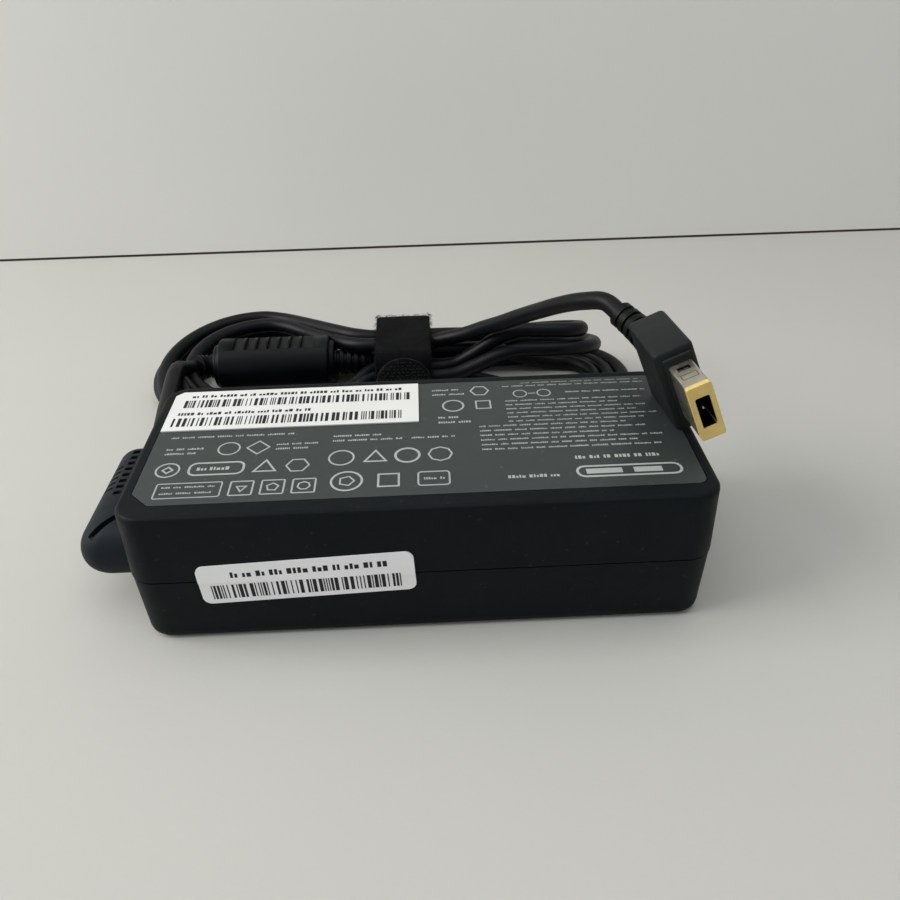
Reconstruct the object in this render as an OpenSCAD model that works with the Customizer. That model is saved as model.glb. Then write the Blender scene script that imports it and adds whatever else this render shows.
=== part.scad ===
// Laptop power adapter: a two-shell brick with its electronics, a moulded
// outlet cord with a ferrite, a strapped hank and a slim rectangular plug.
// Millimetres. Origin on the standing surface under the middle of the brick.
// +X runs along the brick to the mains inlet, +Y to the hank, +Z up.

/* [Housing] */
// Length of the brick along X at the seam
body_l = 108; // [104:1:116]
// Width of the brick along Y at the seam
body_w = 46; // [45:0.5:50]
// Height of the brick
body_h = 29.5; // [29:0.5:33]
// Height of the seam between the two shells
seam_h = 14.8; // [14.4:0.1:15.4]
// Wall, roof and floor thickness of both shells
wall = 2; // [1.8:0.1:2.2]
// Draft of every side wall in degrees
draft = 1.7; // [1:0.1:2.2]
// Radius of the upright corners at the seam
corner_r = 5.4; // [4.5:0.1:6]
// Radius along the top edge
top_r = 1; // [0.6:0.1:1.4]
// Radius along the bottom edge
bottom_r = 2; // [1:0.1:2.4]
// How far the lower shell stands back at the seam
seam_step = 0.15; // [0.1:0.05:0.2]
// Open height of the seam line
seam_gap = 0.35; // [0.2:0.05:0.5]
// Height of the tongue that locates the shells
tongue_h = 1.6; // [1.2:0.1:2]
// Thickness of the tongue
tongue_t = 0.9; // [0.7:0.1:0.9]

/* [Label and stickers] */
// Length of the rating label
label_l = 102.6; // [96:0.2:103]
// Width of the rating label
label_w = 38.8; // [36:0.2:39]
// Shift of the label from the middle line
label_y = 0.7; // [0:0.1:0.8]
// Thickness of the label, also the depth of its recess
label_t = 0.35; // [0.2:0.05:0.5]
// Corner radius of the label
label_r = 1.8; // [1:0.1:3]
// Cut corner of the label
label_cut = 3.6; // [2:0.1:5]
// Length of the sticker on the label
top_sticker_l = 51.2; // [40:0.2:56]
// Width of the sticker on the label
top_sticker_w = 15; // [12:0.5:18]
// Length of the sticker on the front wall
side_sticker_l = 39.2; // [30:0.2:44]
// Height of the sticker on the front wall
side_sticker_h = 9.2; // [8:0.2:11]
// Lean of the front sticker in degrees
side_sticker_lean = 2.3; // [0:0.1:4]
// Thickness of both stickers
sticker_t = 0.25; // [0.2:0.05:0.4]

/* [Mains inlet] */
// Width of the inlet block along Y
inlet_w = 22; // [21:0.5:24]
// Height of the inlet block
inlet_h = 18.6; // [18:0.2:19]
// Depth of the inlet block
inlet_d = 15; // [14:0.5:16]
// Depth of the socket
socket_d = 11; // [10:0.5:12]
// Radius of each of the three socket lobes
lobe_r = 4.2; // [3.8:0.1:4.4]
// Spacing of the line and neutral pins
pin_span = 10; // [9:0.2:10.4]
// Drop from those pins to the earth pin
earth_drop = 6.2; // [5.6:0.1:6.4]
// Radius of each pin
pin_r = 1.2; // [1:0.05:1.3]
// How far the pins stop short of the mouth
pin_set = 1.5; // [1:0.1:2.5]

/* [Circuit board] */
// Height of the posts under the board
post_h = 4.4; // [4:0.1:5]
// Outer radius of the posts
post_r = 2.6; // [2.2:0.1:2.8]
// Radius of the locating pins
dowel_r = 1.1; // [0.8:0.1:1.3]
// Thickness of the board
board_t = 1.6; // [1.2:0.1:2]
// Clearance round the board
board_gap = 1.2; // [1.1:0.1:1.6]
// Free space between neighbouring components
part_gap = 0.8; // [0.6:0.1:1]
// Thickness of both heat sinks
sink_t = 1.5; // [1:0.1:2]
// Free height over both heat sinks
sink_clear = 3.1; // [2.5:0.1:5]
// Free board at either end of both heat sinks
sink_edge = 4.3; // [4:0.1:6]
// Thickness of the packaged semiconductors
chip_t = 4.5; // [4:0.1:4.8]
// Width of the packaged semiconductors
chip_w = 10; // [9:0.2:11]
// Free board in front of the transformer
trafo_front = 5.8; // [5.8:0.1:7]
// Free board behind the transformer
trafo_back = 9.8; // [7:0.1:11]
// Free height over the transformer
trafo_clear = 2.1; // [1.5:0.1:4]
// Free board in front of the mains capacitor
bulk_front = 7.8; // [6:0.1:9]
// Free board behind the mains capacitor
bulk_back = 5.8; // [4:0.1:8]
// Free height over the mains capacitor
bulk_clear = 2; // [1.5:0.1:3]
// Radius of the output capacitors
out_cap_r = 4; // [3.5:0.1:4.3]
// Free height over the output capacitors
out_cap_clear = 3.6; // [2.5:0.1:6]
// Free board behind the output capacitors
out_cap_edge = 6; // [5.5:0.1:7]
// Free height over the choke
choke_clear = 1.2; // [1:0.1:2.5]
// Free board behind the choke
choke_edge = 4.6; // [3:0.1:5]
// Thickness of the choke core
choke_t = 6; // [5:0.2:6.4]
// Thickness of the filter capacitor
filter_t = 6; // [5:0.2:6.4]
// Free height over the filter capacitor
filter_clear = 7.6; // [5:0.1:9]
// Free strip along the edges of the board
edge_gap = 2.3; // [2.1:0.1:2.5]
// Free length between the filter capacitor and the fuse
row_spare = 6.9; // [5:0.1:8]
// Gap between the fuse and the post beside it
fuse_gap = 1.1; // [0.8:0.1:2]
// Thickness of the heat spreader under the roof
spreader_t = 0.6; // [0.4:0.1:0.8]
// Thickness of the insulation sheet under it
film_t = 0.3; // [0.2:0.1:0.4]

/* [Strain relief] */
// Distance of the cord outlet from the front wall
relief_in = 15; // [14.5:0.5:16]
// Drop of the outlet below the seam
relief_drop = 2; // [1.6:0.1:2.1]
// Radius of the moulded elbow
relief_r = 6.2; // [5.8:0.1:6.3]
// Distance of the elbow from the end wall
relief_out = 6.3; // [6.2:0.1:7]
// Length of the slotted sleeve from the elbow
sleeve_l = 24.8; // [20:0.2:28]
// Radius of the sleeve
sleeve_r = 5.7; // [5:0.1:5.8]
// Radius of the neck in the wall
neck_r = 3.8; // [3.4:0.1:3.8]
// Width of the slot across the elbow
mitre_slot = 0.9; // [0.5:0.1:1.2]
// Number of slots on the brick side of the sleeve
relief_slots = 8; // [5:1:9]
// Number of notches on its outer side
relief_notches = 5; // [3:1:6]

/* [Cord and ferrite] */
// Outside diameter of the cord
cord_d = 4.1; // [3.8:0.1:4.1]
// Outside radius of the ferrite housing
ferrite_r = 7.5; // [7:0.1:7.5]
// Length of the ferrite housing between its collars
ferrite_l = 26.5; // [22:0.5:27]
// Outside radius of the ferrite core
core_r = 6; // [5.2:0.1:6.2]
// Length of the ferrite core
core_l = 23; // [18:0.5:24]
// Number of grip ribs along the top of the housing
ferrite_ribs = 8; // [4:1:10]

/* [Strap] */
// Width of the strap along the cord
strap_w = 15; // [12:0.5:15.5]
// Thickness of the strap
strap_t = 1; // [0.8:0.1:1]
// Height of the strap over the standing surface
strap_h = 16.5; // [16.2:0.1:18]
// Depth of the strap along Y
strap_d = 28; // [27.8:0.2:30]
// Corner radius of the strap
strap_r = 4; // [2:0.5:4.5]
// Length of the loose hook tab
tab_l = 14.6; // [12:0.2:14.8]

/* [Plug] */
// Width of the plug body
plug_w = 6.9; // [6.5:0.1:7.5]
// Height of the plug body
plug_h = 17.1; // [16.5:0.1:18]
// Length of the plug body
plug_l = 16.7; // [15:0.1:19]
// Edge radius of the plug body
plug_edge = 1.3; // [0.6:0.1:2]
// Width of the rectangular tip
tip_w = 4.5; // [4.3:0.1:4.7]
// Height of the rectangular tip
tip_h = 11; // [10.8:0.1:11.2]
// Length of the tip in front of the body
tip_l = 10.5; // [9.5:0.1:11]
// Length of the insulating nose in front of the metal sleeve
nose_l = 1.2; // [0.8:0.1:2]
// Thickness of the metal sleeve
sleeve_t = 0.3; // [0.2:0.05:0.4]
// Radius of the centre pin
centre_pin_r = 0.4; // [0.3:0.05:0.5]
// Number of ribs on the cord boot
boot_ribs = 6; // [4:1:7]
// Spacing of those ribs
boot_pitch = 2.5; // [2.2:0.1:2.8]

/* [Hidden] */
$fn = 48;
eps = 0.01;
fit = 0.1;
half_l = body_l / 2;
half_w = body_w / 2;
slope = tan(draft);
ceiling = body_h - wall;
upper_h = body_h - seam_h;
label_fit = 0.15;

// Inlet: the block stands just inside the end wall.
inlet_x = half_l - 0.5;
inlet_back = inlet_x - inlet_d;
inlet_z = seam_h;
inlet_r = 2.5;
power_z = inlet_z + 2.1;
earth_z = power_z - earth_drop;
pin_x = inlet_x - pin_set;
pin_clear = 0.3;
root_r = pin_r + 0.6;
socket_x = inlet_x - socket_d;
leg_r = 0.9;

// Board, and the free height from it to the sheet under the roof.
board_z = wall + post_h;
board_top = board_z + board_t;
board_x0 = -(half_l - wall - board_gap);
board_x1 = inlet_back - part_gap;
board_w = body_w - 2 * (wall + board_gap);
board_y = board_w / 2;
post_edge = post_r + 0.4;
leg_x = board_x1 - 1.8;
free_h = ceiling - spreader_t - film_t - board_top;

// Components take their heights and widths from that room.
sink_h = free_h - sink_clear;
sink_w = board_w - 2 * sink_edge;
chip_h = sink_h - 4.5;
trafo_h = free_h - trafo_clear;
trafo_w = board_w - trafo_front - trafo_back;
trafo_y = (trafo_front - trafo_back) / 2;
bulk_r = (free_h - bulk_clear) / 2;
bulk_l = board_w - bulk_front - bulk_back;
out_cap_h = free_h - out_cap_clear;
out_cap_y = board_y - out_cap_edge - out_cap_r;
choke_wind = 0.9;
choke_r = (free_h - choke_clear) / 2 - choke_wind;
choke_y = board_y - choke_edge - choke_r - choke_wind;
filter_h = free_h - filter_clear;
filter_w = choke_y - choke_r - choke_wind + board_y - 2 * edge_gap;
fuse_r = 2.6;
fuse_x = board_x1 - 0.5 - fuse_r;
fuse_y = -(board_y - post_edge - post_r - fuse_gap - fuse_r);

// The row from the outlet end to the inlet end. The transformer fills it.
wire_zone = 3.3;
trafo_l = fuse_x - fuse_r - row_spare - board_x0 - wire_zone - 2 * out_cap_r
  - 5 * part_gap - 2 * (chip_t + sink_t + bulk_r) - filter_t;
trafo_t = 0.173 * trafo_l;
trafo_leg = 0.27 * trafo_l;
out_cap_x = board_x0 + wire_zone + out_cap_r;
rectifier_x = out_cap_x + out_cap_r + part_gap;
second_sink_x = rectifier_x + chip_t;
trafo_x = second_sink_x + sink_t + part_gap;
bulk_x = trafo_x + trafo_l + part_gap + bulk_r;
first_sink_x = bulk_x + bulk_r + part_gap;
switch_x = first_sink_x + sink_t;
filter_x = switch_x + chip_t + part_gap;
choke_x = filter_x + choke_wind;

// Strain relief.
relief_x = -half_l - 0.2;
relief_y = half_w - relief_in;
relief_z = seam_h - relief_drop;
sleeve_x = -half_l - relief_out;

// Ferrite: it lies on the standing surface behind the brick.
ferrite_x = -55.5;
ferrite_y = 72.8;
ferrite_z = ferrite_r;
collar_l = 1.5;
collar_r = 6;
boot_r = 3.3;
elbow_bend = 5.5;
elbow_turn = 65;
elbow_rise = 25;
cone_l = 7;
ferrite_end = ferrite_x + ferrite_l + collar_l;

// Strap box round the waist of the hank.
strap_x = -4.1;
strap_y = 71;
strap_gap = strap_h - 2 * strap_t;
tab_z = 1.6;

// Plug pose: it rests on a lower edge on top of the brick.
plug_at = [50.4, -14.1, body_h + 11.85];
plug_turn = [-5.7, -22.2, 4.4];
boot_collar = 3;
boot_step = 6.5;
boot_lean = 55;
boot_bend = boot_pitch / (boot_step * PI / 180);
boot_angle = boot_step * boot_ribs;

// ---------- shapes shared by several pieces ----------

module rounded_rect(l, w, r) {
  square([l - 2 * r, w], center = true);
  square([l, w - 2 * r], center = true);
  for (sx = [-1, 1], sy = [-1, 1]) {
    translate([sx * (l / 2 - r), sy * (w / 2 - r)]) circle(r = r);
  }
}

// Half of an upright section: out to x, up to h, leaning in, edge radius e.
// Its insets are whole microns, so that a wall and its corner meet exactly.
function micron(v) = round(v * 1000) / 1000;
function edge_points(x, h, e) = [
  for (i = [0:4])
    let (a = i * 22.5)
    [x - micron(slope * (h - e) + e * (1 - cos(a))), h - e + micron(e * sin(a))]
];

// Drafted block with round corners. Widest at z 0, its edge radius at z h.
module drafted(l, w, r, h, e) {
  side_y = edge_points(w / 2, h, e);
  side_x = edge_points(l / 2, h, e);
  rotate([90, 0, 90]) {
    linear_extrude(l - 2 * r, center = true) {
      polygon(concat(
        [[w / 2, 0]], side_y,
        [for (i = [4:-1:0]) [-side_y[i].x, side_y[i].y]], [[-w / 2, 0]]
      ));
    }
  }
  rotate([90, 0, 0]) {
    linear_extrude(w - 2 * r, center = true) {
      polygon(concat(
        [[l / 2, 0]], side_x,
        [for (i = [4:-1:0]) [-side_x[i].x, side_x[i].y]], [[-l / 2, 0]]
      ));
    }
  }
  for (q = [[1, 1, 0], [-1, 1, 90], [-1, -1, 180], [1, -1, 270]]) {
    translate([q.x * (l / 2 - r), q.y * (w / 2 - r), 0]) {
      rotate([0, 0, q.z]) {
        rotate_extrude(angle = 90) {
          polygon(concat([[0, 0], [r, 0]], edge_points(r, h, e), [[0, h]]));
        }
      }
    }
  }
}

// Block of the housing at the seam, set back by s on every side.
module housing_block(s, h, e) {
  drafted(body_l - 2 * s, body_w - 2 * s, corner_r - s, h, e);
}

module seam_ring(s, z, h) {
  translate([0, 0, z]) {
    linear_extrude(h) rounded_rect(body_l - 2 * s, body_w - 2 * s, corner_r - s);
  }
}

module outlet_bore(r) {
  translate([-half_l + wall + 3, -relief_y, relief_z]) {
    rotate([0, -90, 0]) cylinder(r = r, h = wall + 6);
  }
}

module inlet_outline(x, l, grow) {
  translate([x, 0, inlet_z]) {
    rotate([90, 0, 90]) {
      linear_extrude(l) {
        rounded_rect(inlet_w + 2 * grow, inlet_h + 2 * grow, inlet_r);
      }
    }
  }
}

module at_posts() {
  for (x = [board_x0 + post_edge, board_x1 - post_edge], s = [-1, 1]) {
    translate([x, s * (board_w / 2 - post_edge), 0]) children();
  }
}

module on_board(x, y) {
  translate([x, y, board_top]) children();
}

// ---------- swept cords ----------

function unit(v) = v / norm(v);
function heading(p, i) =
  unit(p[min(i + 1, len(p) - 1)] - p[max(i - 1, 0)]);
function ring_points(p, i, r, n, ref) =
  let (t = heading(p, i), s = unit(cross(ref, t)), u = cross(t, s))
  [for (k = [0:n - 1]) p[i] + r * (cos(360 * k / n) * s + sin(360 * k / n) * u)];

module swept(p, r, n, ref = [0, 0, 1]) {
  m = len(p);
  pts = [for (i = [0:m - 1]) each ring_points(p, i, r, n, ref)];
  side = [
    for (i = [0:m - 2], k = [0:n - 1])
      let (a = i * n + k, b = i * n + (k + 1) % n)
      each [[a, a + n, b + n], [a, b + n, b]]
  ];
  first = [for (k = [1:n - 2]) [0, k, k + 1]];
  last = [for (k = [1:n - 2]) let (b = (m - 1) * n) [b, b + k + 1, b + k]];
  polyhedron(points = pts, faces = concat(side, first, last));
}

// ---------- hank of the cord ----------

// Lanes and rows that the strands keep inside the strap.
lane_pitch = 5.1;
row_pitch = 4.9;
row_z = 3.2;
back_cells = [[3, 1], [3, 0], [4, 0], [4, 1], [3, 2], [2, 2]];
front_cells = [[2, 0], [1, 0], [0, 0], [0, 1], [1, 1]];
// A row for each turn: reach, near y, near rise, far y, far rise, far settle.
// The turns spiral out on the standing surface, then in, a layer higher.
left_lobe = [
  [-65.4, 63.4, 0, 85.4, 0, 0.75],
  [-70.6, 58.2, 0, 90.9, 0, 0.75],
  [-75.8, 53, 0, 96.4, 0, 0.8],
  [-76.2, 54, 4.9, 99.5, 5.3, 0.78],
  [-71, 59.8, 4.9, 92.6, 4.9, 0.86]
];
right_lobe = [
  [43.6, 62, 0, 79, 0],
  [49, 56.8, 0, 85, 0],
  [54.5, 51.6, 0, 91, 0],
  [50, 57, 8.9, 85, 5.5],
  [46, 60, 14.5, 80, 10.8]
];
run_rings = 4;
turn_rings = 4;
floor_z = cord_d / 2 + 0.05;

function smooth(t) = t * t * (3 - 2 * t);
function share(t, a, b) = smooth(max(0, min(1, (t - a) / (b - a))));
// Place of a strand at the middle (0) or either edge (-1, 1) of the strap.
function cell(c, side = 0) = [
  strap_x + side * (strap_w / 2 + 0.5),
  strap_y + lane_pitch * (c.x - 2), row_z + row_pitch * c.y
];
// Run from strap edge p to lobe point q. y and z change over their shares.
function run(p, q, ya, yb, za, zb, back = false) = [
  for (k = [0:run_rings - 1])
    let (t = (back ? run_rings - k : k) / run_rings)
    [p.x + (q.x - p.x) * t,
     p.y + (q.y - p.y) * share(t, ya, yb),
     p.z + (q.z - p.z) * share(t, za, zb)]
];
function turn(reach, a, b) =
  let (h = (b.y - a.y) / 2)
  [
    for (k = [0:turn_rings - 1])
      let (f = 180 * k / turn_rings)
      [a.x + (reach - a.x) * sin(f), (a.y + b.y) / 2 - h * cos(f),
       a.z + (b.z - a.z) * smooth(k / turn_rings)]
  ];
function lobe_x(row, side) = row[0] - side * abs(row[3] - row[1]) / 2;
function near_end(row, side) = [lobe_x(row, side), row[1], floor_z + row[2]];
function far_end(row, side) = [lobe_x(row, side), row[3], floor_z + row[4]];
function loop(i) =
  let (
    r = right_lobe[i], l = left_lobe[i],
    b = back_cells[i], f = front_cells[i], n = back_cells[i + 1]
  )
  concat(
    run(cell(b, 1), far_end(r, 1), 0, 1, 0.35, 1),
    turn(r[0], far_end(r, 1), near_end(r, 1)),
    run(cell(f, 1), near_end(r, 1), 0, 1, 0.05, 0.7, true),
    [cell(f, 1)],
    run(cell(f, -1), near_end(l, -1), 0, 0.4, 0.1, 0.6),
    turn(l[0], near_end(l, -1), far_end(l, -1)),
    run(cell(n, -1), far_end(l, -1), 0, l[5], 0.4, 1, true),
    [cell(n, -1)]
  );
loops = len(left_lobe);
hank_path = concat(
  [cell(back_cells[0])], [for (i = [0:loops - 1]) each loop(i)],
  [cell(back_cells[loops])]
);

// Least gap of the hank to itself, on points about 1.5 mm apart.
fine = [
  for (i = [0:len(hank_path) - 2])
    let (a = hank_path[i], b = hank_path[i + 1], n = ceil(norm(b - a) / 1.5))
    for (k = [0:n - 1]) a + (b - a) * k / n
];
hank_length = [for (i = 0, s = 0; i < len(hank_path) - 1;
  s = s + norm(hank_path[i + 1] - hank_path[i]), i = i + 1) s];
least = min([
  for (i = [0:len(fine) - 14], j = [i + 13:len(fine) - 1])
    if (abs(fine[i].x - fine[j].x) < 6) norm(fine[i] - fine[j])
]);
echo(hank_loops = loops);
echo(hank_length = hank_length[len(hank_length) - 1]);
echo(hank_least_gap = least - cord_d);

// ---------- routes of the other cord stretches ----------

function about_x(a, p) = [p.x, p.y * cos(a) - p.z * sin(a), p.y * sin(a) + p.z * cos(a)];
function about_y(a, p) = [p.x * cos(a) + p.z * sin(a), p.y, p.z * cos(a) - p.x * sin(a)];
function about_z(a, p) = [p.x * cos(a) - p.y * sin(a), p.x * sin(a) + p.y * cos(a), p.z];
function in_plug(p) =
  about_z(plug_turn.z, about_y(plug_turn.y, about_x(plug_turn.x, p)));
boot_end = plug_at + in_plug([0, tip_l + plug_l + boot_collar, 0] + about_y(boot_lean,
  [-boot_bend * (1 - cos(boot_angle)), boot_bend * sin(boot_angle), 0]));
boot_dir = in_plug(about_y(boot_lean, [-sin(boot_angle), cos(boot_angle), 0]));
elbow_start = [ferrite_x - collar_l, ferrite_y, ferrite_z];
elbow_up = [0, -cos(elbow_rise), sin(elbow_rise)];
elbow_end = elbow_start + elbow_bend * (1 - cos(elbow_turn)) * elbow_up
  - [elbow_bend * sin(elbow_turn), 0, 0];
elbow_dir = sin(elbow_turn) * elbow_up - [cos(elbow_turn), 0, 0];
sleeve_end = [sleeve_x, sleeve_l - relief_y, relief_z];
lead_path = [
  sleeve_end, sleeve_end + [0, cord_d, 0], [-60.8, 28, 12.6], [-61.8, 35, 12.4],
  [-62.8, 42, 12.3], [-63.6, 49, 12.3], [-64.3, 55, 12.4], [-64.7, 60, 12.5],
  [-64.8, 64, 11.9], elbow_end + cord_d * elbow_dir, elbow_end
];
through_path = [
  elbow_start, [ferrite_end + cone_l, ferrite_y, ferrite_z],
  [-15.5, 73.2, 7.6], [-11.5, 74.4, 7.9], [-8, 75.6, 8.1],
  cell(back_cells[0])
];
tail_path = [
  cell(back_cells[loops]), [1, 71, 13],
  [7.5, 69.5, 15], [13, 67.2, 17.4], [17.6, 63.9, 20.6], [21.8, 59.4, 24.1],
  [26, 54.2, 28.2], [30, 48.5, 32.3], [34.2, 42.8, 36.3], [38.4, 37.5, 39.4],
  boot_end + cord_d * boot_dir, boot_end
];

// ---------- housing ----------

module upper_shell() {
  color([0.08, 0.1, 0.11]) difference() {
    translate([0, 0, seam_h]) housing_block(0, upper_h, top_r);
    translate([0, 0, seam_h - eps]) {
      housing_block(wall, upper_h - wall + eps, top_r);
    }
    seam_ring(-1, seam_h - 1, 1 + seam_gap);
    seam_ring(
      seam_step + wall - tongue_t - fit, seam_h - 1, 1 + seam_gap + tongue_h
    );
    translate([0, 0, body_h - label_t]) {
      linear_extrude(1) label_outline(label_fit);
    }
    outlet_bore(neck_r + fit);
    inlet_outline(half_l - wall - 2, wall + 4, fit);
  }
  color([0.08, 0.1, 0.11]) at_posts() {
    translate([0, 0, board_top]) difference() {
      cylinder(r = post_r, h = ceiling - board_top + 0.5);
      translate([0, 0, -eps]) cylinder(r = dowel_r + 0.3, h = 3);
    }
  }
}

module lower_shell() {
  color([0.08, 0.1, 0.11]) difference() {
    union() {
      difference() {
        union() {
          translate([0, 0, seam_h]) mirror([0, 0, 1]) {
            housing_block(seam_step, seam_h, bottom_r);
          }
          seam_ring(
            seam_step + wall - tongue_t, seam_h - 1, 1 + seam_gap + tongue_h
          );
        }
        translate([0, 0, seam_h]) mirror([0, 0, 1]) {
          housing_block(seam_step + wall, seam_h - wall, bottom_r);
        }
        seam_ring(seam_step + wall, seam_h - eps, 3 + tongue_h);
      }
      at_posts() translate([0, 0, wall - 0.5]) {
        cylinder(r = post_r, h = post_h + 0.5);
        cylinder(r = dowel_r, h = post_h + board_t + 1.5);
      }
    }
    outlet_bore(neck_r + fit);
    inlet_outline(half_l - wall - 2, wall + 4, fit);
  }
}

module label_outline(grow) {
  l = label_l + 2 * grow;
  w = label_w + 2 * grow;
  translate([0, label_y]) difference() {
    rounded_rect(l, w, label_r);
    translate([-l / 2, -w / 2]) rotate([0, 0, 45]) {
      square([sqrt(2) * label_cut, 2 * sqrt(2) * label_cut], center = true);
    }
  }
}

module rating_label() {
  color([0.25, 0.27, 0.27]) translate([0, 0, body_h - label_t]) {
    linear_extrude(label_t) label_outline(0);
  }
}

module label_sticker() {
  l = top_sticker_l;
  w = top_sticker_w;
  cut = 1.4;
  color([0.93, 0.93, 0.92]) {
    translate([-label_l / 2 + 0.2, label_y + label_w / 2 - 0.2 - w, body_h]) {
      linear_extrude(sticker_t) {
        polygon([[0, 0], [l, 0], [l, w], [cut, w], [0, w - cut]]);
      }
    }
  }
}

// The front sticker bends with the two walls and bridges the seam.
module side_sticker() {
  low = half_w - seam_step - slope * seam_h;
  high = half_w - slope * upper_h;
  color([0.93, 0.93, 0.92]) intersection() {
    translate([-60, 0, 0]) rotate([90, 0, 90]) linear_extrude(80) {
      polygon([
        [-low, 0], [-half_w + seam_step, seam_h], [-half_w, seam_h],
        [-high, body_h], [-high - sticker_t, body_h],
        [-half_w - sticker_t, seam_h],
        [-half_w + seam_step - sticker_t, seam_h], [-low - sticker_t, 0]
      ]);
    }
    translate([-21.1, -half_w + 2, seam_h]) {
      rotate([90, -side_sticker_lean, 0]) linear_extrude(6) {
        rounded_rect(side_sticker_l, side_sticker_h, 1.6);
      }
    }
  }
}

// ---------- mains inlet ----------

module socket_outline() {
  for (s = [-1, 1]) translate([s * pin_span / 2, power_z]) circle(r = lobe_r);
  translate([0, earth_z]) circle(r = lobe_r);
  translate([-pin_span / 2, power_z - lobe_r + 0.6]) {
    square([pin_span, 2 * lobe_r - 1.8]);
  }
  translate([-2.6, earth_z]) square([5.2, earth_drop]);
}

module inlet_housing() {
  color([0.06, 0.06, 0.07]) difference() {
    union() {
      inlet_outline(inlet_back, inlet_d, 0);
      translate([half_l - wall - seam_step - 2.2, 0, inlet_z]) {
        rotate([90, 0, 90]) linear_extrude(1.5) {
          rounded_rect(inlet_w + 2.4, inlet_h + 2, inlet_r);
        }
      }
    }
    translate([socket_x, 0, 0]) rotate([90, 0, 90]) {
      linear_extrude(socket_d + 1) socket_outline();
    }
    for (p = [[-pin_span / 2, power_z], [pin_span / 2, power_z], [0, earth_z]]) {
      translate([inlet_back - 1, p.x, p.y]) rotate([0, 90, 0]) {
        cylinder(r = root_r + pin_clear, h = inlet_d);
      }
    }
  }
}

// A pin runs from the mouth through the block, bends and stands on the board.
module inlet_pin(y, z) {
  translate([leg_x, y, z]) rotate([0, 90, 0]) cylinder(r = root_r, h = socket_x - leg_x);
  translate([leg_x, y, z]) rotate([0, 90, 0]) cylinder(r = pin_r, h = pin_x - leg_x);
  translate([pin_x, y, z]) sphere(r = pin_r);
  translate([inlet_back - 0.8, y, z]) rotate([0, 90, 0]) cylinder(r = 2, h = 0.8);
  translate([leg_x, y, z]) sphere(r = root_r);
  translate([leg_x, y, board_top]) cylinder(r = leg_r, h = z - board_top);
}

module line_pin() {
  color([0.75, 0.75, 0.72]) inlet_pin(-pin_span / 2, power_z);
}

module neutral_pin() {
  color([0.75, 0.75, 0.72]) inlet_pin(pin_span / 2, power_z);
}

module earth_pin() {
  color([0.75, 0.75, 0.72]) inlet_pin(0, earth_z);
}

// ---------- electronics ----------

module circuit_board() {
  color([0.1, 0.35, 0.2]) difference() {
    translate([board_x0, -board_w / 2, board_z]) {
      cube([board_x1 - board_x0, board_w, board_t]);
    }
    at_posts() translate([0, 0, board_z - 1]) {
      cylinder(r = dowel_r + 0.1, h = board_t + 2);
    }
  }
}

// Flat package with its tab and three legs; y along the board, facing +X.
module power_package(h) {
  translate([0, -chip_w / 2, 4]) cube([chip_t, chip_w, h]);
  for (k = [-1, 0, 1]) {
    translate([chip_t / 2, k * 2.5, 0]) cylinder(r = 0.5, h = 4.5, $fn = 24);
  }
}

// Plate with two feet that stand on the board.
module heat_sink() {
  translate([0, -sink_w / 2, 1.5]) cube([sink_t, sink_w, sink_h - 1.5]);
  for (s = [-1, 1]) translate([0, s * (sink_w / 2 - 4) - 2, 0]) cube([sink_t, 4, 2]);
}

module output_capacitor_a() {
  color([0.15, 0.2, 0.35]) {
    on_board(out_cap_x, out_cap_y - 2 * out_cap_r - part_gap) {
      electrolytic(out_cap_r, out_cap_h);
    }
  }
}

module output_capacitor_b() {
  color([0.15, 0.2, 0.35]) {
    on_board(out_cap_x, out_cap_y) electrolytic(out_cap_r, out_cap_h);
  }
}

// Can with a crimp groove and a chamfered top.
module electrolytic(r, h) {
  rotate_extrude() polygon([
    [0, 0], [r - 0.3, 0], [r, 0.4], [r, 1.6], [r - 0.5, 2], [r - 0.5, 2.5],
    [r, 2.9], [r, h - 0.5], [r - 0.5, h], [0, h]
  ]);
}

module output_rectifier() {
  color([0.1, 0.1, 0.1]) on_board(rectifier_x, -1) power_package(chip_h);
}

module secondary_heat_sink() {
  color([0.75, 0.76, 0.78]) on_board(second_sink_x, 0) heat_sink();
}

module transformer_core() {
  l = trafo_l;
  w = trafo_w;
  t = trafo_t;
  color([0.2, 0.2, 0.21]) on_board(trafo_x, trafo_y) {
    difference() {
      translate([0, -w / 2 + 3, 2]) cube([l, w - 6, trafo_h - 2]);
      translate([t, -w, 2 + t]) cube([l - 2 * t, 2 * w, trafo_h - 2 - 2 * t]);
    }
    translate([(l - trafo_leg) / 2, -w / 2 + 3, 2]) cube([trafo_leg, w - 6, trafo_h - 2]);
  }
}

module transformer_bobbin() {
  l = trafo_l;
  w = trafo_w;
  t = trafo_t;
  color([0.75, 0.6, 0.2]) on_board(trafo_x, trafo_y) difference() {
    union() {
      translate([t, -w / 2, 2 + t]) cube([l - 2 * t, w, trafo_h - 2 - 2 * t]);
      for (s = [-1, 1]) {
        translate([t, s * (w / 2 - 1.5) - 1.5, 0]) cube([l - 2 * t, 3, 2 + t + 1]);
      }
    }
    translate([(l - trafo_leg) / 2, -w / 2 + 3, -1]) cube([trafo_leg, w - 6, trafo_h + 2]);
  }
}

module bulk_capacitor() {
  color([0.15, 0.15, 0.17]) {
    translate([bulk_x, bulk_front - board_y, board_top + bulk_r]) {
      rotate([-90, 0, 0]) electrolytic(bulk_r, bulk_l);
    }
  }
}

module primary_heat_sink() {
  color([0.75, 0.76, 0.78]) on_board(first_sink_x, 0) heat_sink();
}

module switching_transistor() {
  color([0.1, 0.1, 0.1]) {
    on_board(switch_x, sink_w / 2 - 2.5 - chip_w / 2) power_package(chip_h);
  }
}

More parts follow.
